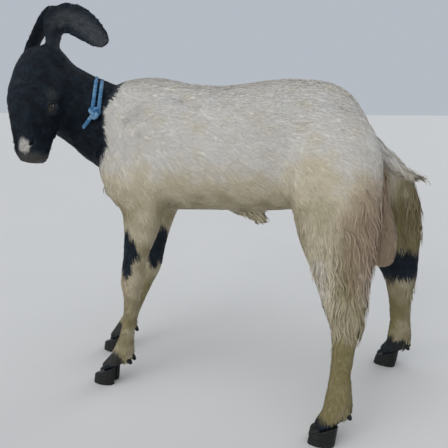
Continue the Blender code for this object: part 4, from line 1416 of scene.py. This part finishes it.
    def _facing(self, side: Array, outs: Array, sections: int, flat: Array) -> Array:
        """The way each corner of the locks faces for the light: off the skin, and leaning at the edges."""
        count = len(outs)
        lean = np.array((-self.lean, 0.0, self.lean))[None, None, :, None]
        upper = outs[:, :-1, None] + side[:, :-1, None] * lean
        under = np.repeat(-outs[:, :-1, None], 3, axis=2)
        tips = outs[:, -1:]
        upper, under = (np.concatenate([way.reshape(count, -1, 3), tip], axis=1).reshape(-1, 3)
                        for way, tip in ((upper, tips), (under, -tips)))
        turned = [0, 0, 0, 0, 1, 1] * (sections - 1) + [0, 0, 1, 1]
        below = np.tile(np.repeat(turned, 3), count).astype(bool)[:, None]
        return unit(np.where(below, under[flat.ravel()], upper[flat.ravel()])).astype(np.float32)

    def piece(self, name: str, roots: Roots, sections: int, seed: int, slot: str,
              material: bpy.types.Material) -> None:
        """Make a named piece of coat, in as many parts as its faces need."""
        each = 6 * (sections - 1) + 4
        parts = max(1, math.ceil(len(roots.places) * each / self.most_faces))
        order = np.argsort(roots.places[:, 0])
        for number, share in enumerate(np.array_split(order, parts)):
            label = f"{name}_{number + 1}" if parts > 1 else name
            chosen = roots.chosen(np.sort(share))
            declare(place(label, self.mesh(label, chosen, sections, seed + number), material), slot)

    def dress(self) -> None:
        """Cover the whole skin: short flat hair first, then the long locks."""
        known = self.skin.known
        material = self.finish.hair()
        density = known["cover"] / (known["length"] * known["width"] * self.short_fill)
        density = density * (1 - known["bare"])
        roots = self.sow(density, self.short_seed)
        near = roots.places[:, 1] < 0.0
        for number, (name, (parts, sections, slot)) in enumerate(COAT_PIECES.items()):
            mask = np.isin(roots.known["part"], [PARTS.index(p) for p in parts])
            halves = {"_left": near, "_right": ~near} if name == "coat_trunk" else {"": True}
            for word, half in halves.items():
                seed = self.piece_seed + 20 * number
                self.piece(name + word, roots.chosen(mask & half), sections, seed, slot, material)
        self._shag(material)

    def _shag(self, material: bpy.types.Material) -> None:
        """Hang the long locks of the thighs, tail, hocks, fetlocks, brisket and sheath."""
        known = self.skin.known
        points = self.skin.points
        traits = {"length": None, "width": self.tuft_width, "rise": self.tuft_rise, "fall": None}
        short = {name: known[name].copy() for name in traits}
        density = np.zeros(len(points))
        dewclaws = [node_middle(f"{leg}_dewclaw_{end}") for leg in LEGS for end in "ab"]
        fetlocks = [Shag(Spot(tuple(middle + (0.0, 0.0, 0.010)), (0.013,) * 3), 0.017, 0.0, 2.0, 0.5)
                    for middle in dewclaws]
        for number, shag in enumerate((*SHAGS, *fetlocks)):
            mask = shag.spot.mask(points, 90 + number, 0.45)
            traits["length"], traits["fall"] = np.maximum(known["length"], shag.length), shag.fall
            for name, worth in traits.items():
                known[name] = np.where(mask > 0.05, worth, known[name])
            lock = shag.length * self.tuft_width * self.long_fill
            density = np.maximum(density, mask * shag.cover / lock)
        roots = self.sow(density * (1 - known["bare"]), self.long_seed)
        # clumps of long locks share one value of vary, which the material paints as shade between the clumps
        # and as a rosy tint
        shade = 0.5 + 0.8 * ripple(roots.places, 0.011, 23)
        roots.known["vary"] = np.clip(0.4 * roots.known["vary"] + 0.6 * shade, 0.0, 1.0)
        known.update(short)
        seed = self.long_seed + 2
        self.piece("coat_long_locks", roots, self.tuft_sections, seed, "white_coat", material)


@dataclass
class Chart:
    """An unwrap of the skin's own shape, coarser, on which each lock finds its place."""

    skin: Skin
    faces: int = 6000

    def __post_init__(self) -> None:
        """Thin the skin, unwrap it, and keep its map."""
        thing = added("chart", mesh_of("chart", self.skin.points, self.skin.triangles))
        thin = thing.modifiers.new("thin", "DECIMATE")
        thin.ratio = self.faces / len(self.skin.triangles)
        coarse = evaluated_mesh(thing)
        thing.modifiers.clear()
        thing.data = coarse
        bpy.context.view_layer.objects.active = thing
        thing.select_set(True)
        bpy.ops.object.mode_set(mode="EDIT")
        bpy.ops.mesh.select_all(action="SELECT")
        bpy.ops.uv.smart_project(angle_limit=math.radians(66), island_margin=0.004)
        bpy.ops.object.mode_set(mode="OBJECT")
        self.points = mesh_points(coarse)
        self.corners = np.array([p.vertices[:] for p in coarse.polygons])
        uv = np.empty(len(coarse.loops) * 2)
        coarse.uv_layers[0].data.foreach_get("uv", uv)
        self.map = uv.reshape(-1, 3, 2)
        self.tree = BVHTree.FromPolygons(self.points.tolist(), self.corners.tolist())
        bpy.data.objects.remove(thing)

    def places(self, roots: Array) -> Array:
        """Where each root lies on the unwrap."""
        found = [self.tree.find_nearest(root) for root in roots.tolist()]
        faces = np.array([hit[2] for hit in found])
        spots = np.array([tuple(hit[0]) for hit in found])
        a, b, c = (self.points[self.corners[faces, k]] for k in range(3))
        whole = np.linalg.norm(np.cross(b - a, c - a), axis=1)
        u = np.linalg.norm(np.cross(b - spots, c - spots), axis=1) / whole
        v = np.linalg.norm(np.cross(c - spots, a - spots), axis=1) / whole
        weights = np.column_stack([u, v, 1 - u - v])
        return (self.map[faces] * weights[:, :, None]).sum(axis=1)


# --- eyes, hooves and rope ----------------------------------------------------------------


@dataclass
class Eyes:
    """The eyeballs with their corneas, and the wet edges of their lids."""

    head: HeadPlace
    rings: int = 20
    around: int = 36
    rim_steps: int = 48
    rim_out: float = 0.0006
    rim_radius: float = 0.00085

    def build(self) -> None:
        """Make both eyes."""
        finish, rim = EyeFinish().make(), RimFinish().make()
        for word, side in SIDES.items():
            eye = EyePlace.found(self.head, side)
            declare(place(f"eyeball_{word}", self._ball(eye, word), finish), "eye_surface", (f"eye_{word}",))
            declare(place(f"lid_edge_{word}", self._rim(eye, word), rim), "bare_skin")

    def _ball(self, eye: EyePlace, word: str) -> bpy.types.Mesh:
        """One eyeball, its cornea raised a little."""
        tilts = math.pi * np.arange(1, self.rings) / self.rings
        turns = WHOLE_TURN * np.arange(self.around) / self.around
        rings = np.stack([np.outer(np.sin(tilts), np.cos(turns)), np.outer(np.sin(tilts), np.sin(turns)),
                          np.outer(np.cos(tilts), np.ones(self.around))], axis=2)
        flat = np.vstack([rings.reshape(-1, 3), (0.0, 0.0, 1.0), (0.0, 0.0, -1.0)])
        reach = eye.radius * (0.985 + 0.035 * np.exp(-((1 - flat[:, 2]) / 0.16) ** 2))
        axes = np.array([eye.fore, eye.brow, eye.look])
        faces = ring_faces(len(tilts), self.around, closed=False)
        if np.linalg.det(axes) < 0:
            faces = faces[:, ::-1]
        mesh = mesh_of(f"eyeball_{word}", eye.middle + (flat @ axes) * reach[:, None], faces)
        carry(mesh, {"fore": flat[:, 0], "brow": flat[:, 1]})
        return mesh

    def _rim(self, eye: EyePlace, word: str) -> bpy.types.Mesh:
        """The rounded edge where the lids meet the eyeball."""
        angles = WHOLE_TURN * np.arange(self.rim_steps) / self.rim_steps
        path = np.array([eye.edge(angle, self.rim_out) for angle in angles])
        return tube(f"lid_edge_{word}", path, self.rim_radius, eye.look, closed=True)


def ring_faces(rings: int, around: int, closed: bool) -> Array:
    """The triangles between rings of points.

    Args:
        rings: How many rings there are.
        around: How many points each has.
        closed: Whether the last ring joins the first. Otherwise each end closes on a point of its
            own, and those two points come after all the rings'.

    Returns:
        The triangles. They face out where the points turn anticlockwise seen from the first ring's end.
    """
    faces = []
    for k in range(around):
        m = (k + 1) % around
        for ring in range(rings if closed else rings - 1):
            a, b = ring * around, (ring + 1) % rings * around
            faces += [(a + k, b + k, b + m), (a + k, b + m, a + m)]
        if not closed:
            first, end = rings * around, (rings - 1) * around
            faces += [(first, k, m), (first + 1, end + m, end + k)]
    return np.array(faces)


def tube(name: str, path: Array, radius: float, up: Array, closed: bool, sides: int = 8) -> bpy.types.Mesh:
    """Sweep a round section along a path.

    Args:
        name: The mesh's name.
        path: The path's stations.
        radius: The section's radius.
        up: A way that the path never follows.
        closed: Whether the path ends where it starts.
        sides: How many sides the section has.

    Returns:
        The mesh, whose points carry their turn round the path and the length run along it. The rings
        turn clockwise, so its faces look inwards.
    """
    ahead = headings(path, closed)
    out = unit(np.cross(ahead, up))
    across = np.cross(ahead, out)
    turns = WHOLE_TURN * np.arange(sides) / sides
    ring = np.cos(turns)[None, :, None] * out[:, None] + np.sin(turns)[None, :, None] * across[:, None]
    points = (path[:, None] + ring * radius).reshape(-1, 3)
    ends = np.zeros(0 if closed else 2)
    if not closed:
        points = np.vstack([points, path[0], path[-1]])
    mesh = mesh_of(name, points, ring_faces(len(path), sides, closed))
    run = np.repeat(length_run(path), sides)
    carry(mesh, {"turn": np.append(np.tile(turns, len(path)), ends), "along": np.append(run, ends)})
    return mesh


def headings(path: Array, closed: bool) -> Array:
    """The way ahead at each station of a path."""
    if closed:
        return unit(np.roll(path, -1, axis=0) - np.roll(path, 1, axis=0))
    return unit(np.gradient(path, axis=0))


def length_run(path: Array) -> Array:
    """The length of a path up to each of its stations."""
    return np.concatenate([[0.0], np.cumsum(np.linalg.norm(np.diff(path, axis=0), axis=1))])


@dataclass
class Hooves:
    """The eight claws and the eight dewclaws, in ringed horn."""

    voxel: float = 0.0011
    soft_rounds: int = 4
    ring_pitch: float = 0.0042  # from one growth ring to the next
    ring_height: float = 0.00022
    inset: float = 0.0002
    sole: float = 0.0012  # below this height a point belongs to the flat sole

    def build(self) -> None:
        """Make every claw and dewclaw."""
        finish = HornFinish().make()
        for leg in LEGS:
            for kind in ("claw", "dewclaw"):
                for word in ("a", "b"):
                    node = f"{leg}_{kind}_{word}"
                    declare(place(f"{node}_horn", self._claw(node), finish), "hoof_horn", (node,))

    def _claw(self, node: str) -> bpy.types.Mesh:
        """One claw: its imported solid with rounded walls, growth rings and a flat sole."""
        solid = Surface(*remeshed([node_body(node)], self.voxel))
        floor = solid.points[:, 2].copy()
        edges = solid.edges()
        for _ in range(self.soft_rounds):
            for share in (0.6, -0.58):
                solid.even(share, 1.0, edges)
        wave = np.sin(solid.points[:, 2] * WHOLE_TURN / self.ring_pitch + ripple(solid.points, 0.02, 6))
        solid.points = solid.points + solid.normals() * (self.ring_height * wave - self.inset)[:, None]
        sole = floor < self.sole
        solid.points[sole, 2] = np.minimum(solid.points[sole, 2], np.maximum(floor[sole], 0.0))
        solid.points[:, 2] = np.maximum(solid.points[:, 2], 0.0)
        return mesh_of(node, solid.points, solid.triangles)


@dataclass
class Collar:
    """The rope collar: two turns of three-strand rope round the neck, and their knot."""

    radius: float = 0.0040
    strand_out: float = 0.47  # a strand's distance from the rope's middle, and its radius, to the rope's
    strand_radius: float = 0.55
    pitch: float = 0.021  # the length that a strand takes to go once round the rope
    stations: int = 300
    window: float = 0.16  # how many radians each place on a turn is averaged over
    press: float = 0.0150  # how deep the rope under the knot is pressed into the coat
    foot: float = 0.553  # how high the knot's foot is: the pressing starts under it
    loop: Triple = (0.0031, 0.0034, 0.0034)  # the knot's size along the neck, up and outwards

    def build(self) -> None:
        """Make both turns and the knot."""
        finish = RopeFinish().make()
        for word in ("front", "rear"):
            node = f"collar_turn_{word}"
            line = self._ring(node)
            declare(place(f"rope_turn_{word}", self._rope(node, line, True), finish), "rope", (node,))
        declare(place("rope_knot", self._knot(), finish), "rope", ("collar_knot",))

    def _ring(self, node: str) -> Array:
        """The middle line of a packed turn: the stretch under the knot is filled in and pressed down."""
        points, _ = node_body(node)
        middle = points.mean(axis=0)
        _, _, axes = np.linalg.svd(points - middle, full_matrices=False)
        flat = (points - middle) @ axes.T
        angle = np.arctan2(flat[:, 1], flat[:, 0])
        coarse = np.linspace(-math.pi, math.pi, 37)
        gap = np.abs((angle - coarse[:, None] + math.pi) % WHOLE_TURN - math.pi)
        weight = np.exp(-(gap / self.window) ** 2) + 1e-9
        many = np.linspace(-math.pi, math.pi, self.stations, endpoint=False)
        reach, depth = (np.interp(many, coarse, (weight * field).sum(axis=1) / weight.sum(axis=1))
                        for field in (np.linalg.norm(flat[:, :2], axis=1), flat[:, 2]))
        line = middle + np.column_stack([np.cos(many) * reach, np.sin(many) * reach, depth]) @ axes
        pressed = smoothstep(line[:, 2], self.foot, self.foot - 0.012) * smoothstep(line[:, 1], 0.02, -0.02)
        return line + unit(middle - line) * (self.press * pressed)[:, None]

    def _rope(self, name: str, line: Array, closed: bool) -> bpy.types.Mesh:
        """Lay three strands round a line, and join them."""
        ahead = headings(line, closed)
        middle = line.mean(axis=0)
        out = line - middle
        out = unit(out - ahead * np.sum(out * ahead, axis=1, keepdims=True))
        side = np.cross(ahead, out)
        run = length_run(line)
        whole = run[-1] + (np.linalg.norm(line[-1] - line[0]) if closed else 0.0)
        turns = max(1, round(whole / self.pitch))
        up = unit(side.mean(axis=0) + 1e-3)
        strands = []
        for strand in range(3):
            angle = WHOLE_TURN * (run / whole * turns + strand / 3)
            turned = out * np.cos(angle)[:, None] + side * np.sin(angle)[:, None]
            path = line + turned * self.radius * self.strand_out
            strands.append(tube(name, path, self.radius * self.strand_radius, up, closed))
        return joined(name, strands)

    def _knot(self) -> bpy.types.Mesh:
        """An overhand knot of the same rope, drawn tight, with its short end."""
        low, high = (np.array(corner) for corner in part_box("collar_knot"))
        points, _ = node_body("collar_knot")
        heart = points[points[:, 2] > low[2] + 0.45 * (high - low)[2]].mean(axis=0)
        end = points[np.argmin(points[:, 2] + points[:, 0])]
        out = unit(heart - node_middle("neck"))
        up = unit(np.array((0.1, 0.0, 1.0)) - out * out[2])
        along = np.cross(up, out)
        turn = np.linspace(0, WHOLE_TURN, 150, endpoint=False)
        loop = np.column_stack([np.sin(turn) + 2 * np.sin(2 * turn), np.cos(turn) - 2 * np.cos(2 * turn),
                                -np.sin(3 * turn)])
        path = heart + loop * np.array(self.loop) @ np.array([along, up, out])
        tail = np.linspace(heart, end, 40) + 0.002 * np.sin(np.linspace(0, math.pi, 40))[:, None] * out
        lines = {"knot_loop": (path, True), "knot_end": (tail, False)}
        return joined("collar_knot", [self._rope(name, *line) for name, line in lines.items()])


def joined(name: str, meshes: list[bpy.types.Mesh]) -> bpy.types.Mesh:
    """Put several meshes together as one, with what their points carry."""
    work = bmesh.new()
    for mesh in meshes:
        work.from_mesh(mesh)
    whole = bpy.data.meshes.new(name)
    work.to_mesh(whole)
    work.free()
    return whole


# --- studio -------------------------------------------------------------------------------


@dataclass(frozen=True)
class Studio:
    """The floor, the soft lights and the camera."""

    eye: Triple = (0.36903, -0.96245, 0.563)
    yaw: float = 20.1
    pitch: float = -12.9
    lens: float = 41.79
    sky: Colour = (0.80, 0.86, 0.95)
    sky_strength: float = 0.58

    def build(self) -> None:
        """Set the stage."""
        bpy.context.scene.view_settings.view_transform = "Standard"
        self._floor()
        self._lights()
        camera = bpy.data.cameras.new("camera")
        camera.lens = self.lens
        camera.sensor_width = 36.0
        camera.sensor_fit = "HORIZONTAL"
        camera.clip_end = 50.0
        stand = added("camera", camera)
        stand.location = self.eye
        stand.rotation_euler = (math.radians(90.0 + self.pitch), 0.0, math.radians(self.yaw))
        bpy.context.scene.camera = stand

    def _floor(self) -> None:
        """Lay the pale floor."""
        work = bmesh.new()
        bmesh.ops.create_grid(work, x_segments=8, y_segments=8, size=30.0)
        mesh = bpy.data.meshes.new("floor")
        work.to_mesh(mesh)
        work.free()
        place("floor", mesh, FloorFinish().make())

    def _lights(self) -> None:
        """Shine broad lights from overhead, in front and behind, alike over the whole floor."""
        for name, spot, spread, power, tint in (
            ("overhead", (-0.2, -0.8, 2.2), 54.0, 0.50, (1.0, 0.99, 0.97)),
            ("front", (-0.9, -2.2, 0.75), 44.0, 0.93, (0.99, 0.99, 0.99)),
            ("back", (1.2, 2.2, 1.3), 40.0, 0.45, (1.0, 0.98, 0.95)),
        ):
            lamp = bpy.data.lights.new(name, "SUN")
            lamp.angle = math.radians(spread)
            lamp.energy = power
            lamp.color = tint
            stand = added(name, lamp)
            stand.location = spot
            stand.rotation_euler = (-Vector(spot)).to_track_quat("-Z", "Y").to_euler()
        world = bpy.data.worlds.new("studio")
        world.use_nodes = True
        sky = world.node_tree.nodes["Background"]
        sky.inputs["Color"].default_value = (*self.sky, 1.0)
        sky.inputs["Strength"].default_value = self.sky_strength
        bpy.context.scene.world = world


def main() -> None:
    """Build every piece in order."""
    logging.basicConfig(level=logging.INFO, format="%(message)s")
    head = HeadPlace.found()
    skin = Skin(head=head)
    skin.build()
    coat_finish = CoatFinish()
    declare(skin.piece(coat_finish), "white_coat", Skin.FLESH)
    Coat(skin, Bed(skin), coat_finish, Chart(skin)).dress()
    Eyes(head).build()
    Hooves().build()
    Collar().build()
    Studio().build()


if __name__ == "__main__":
    main()
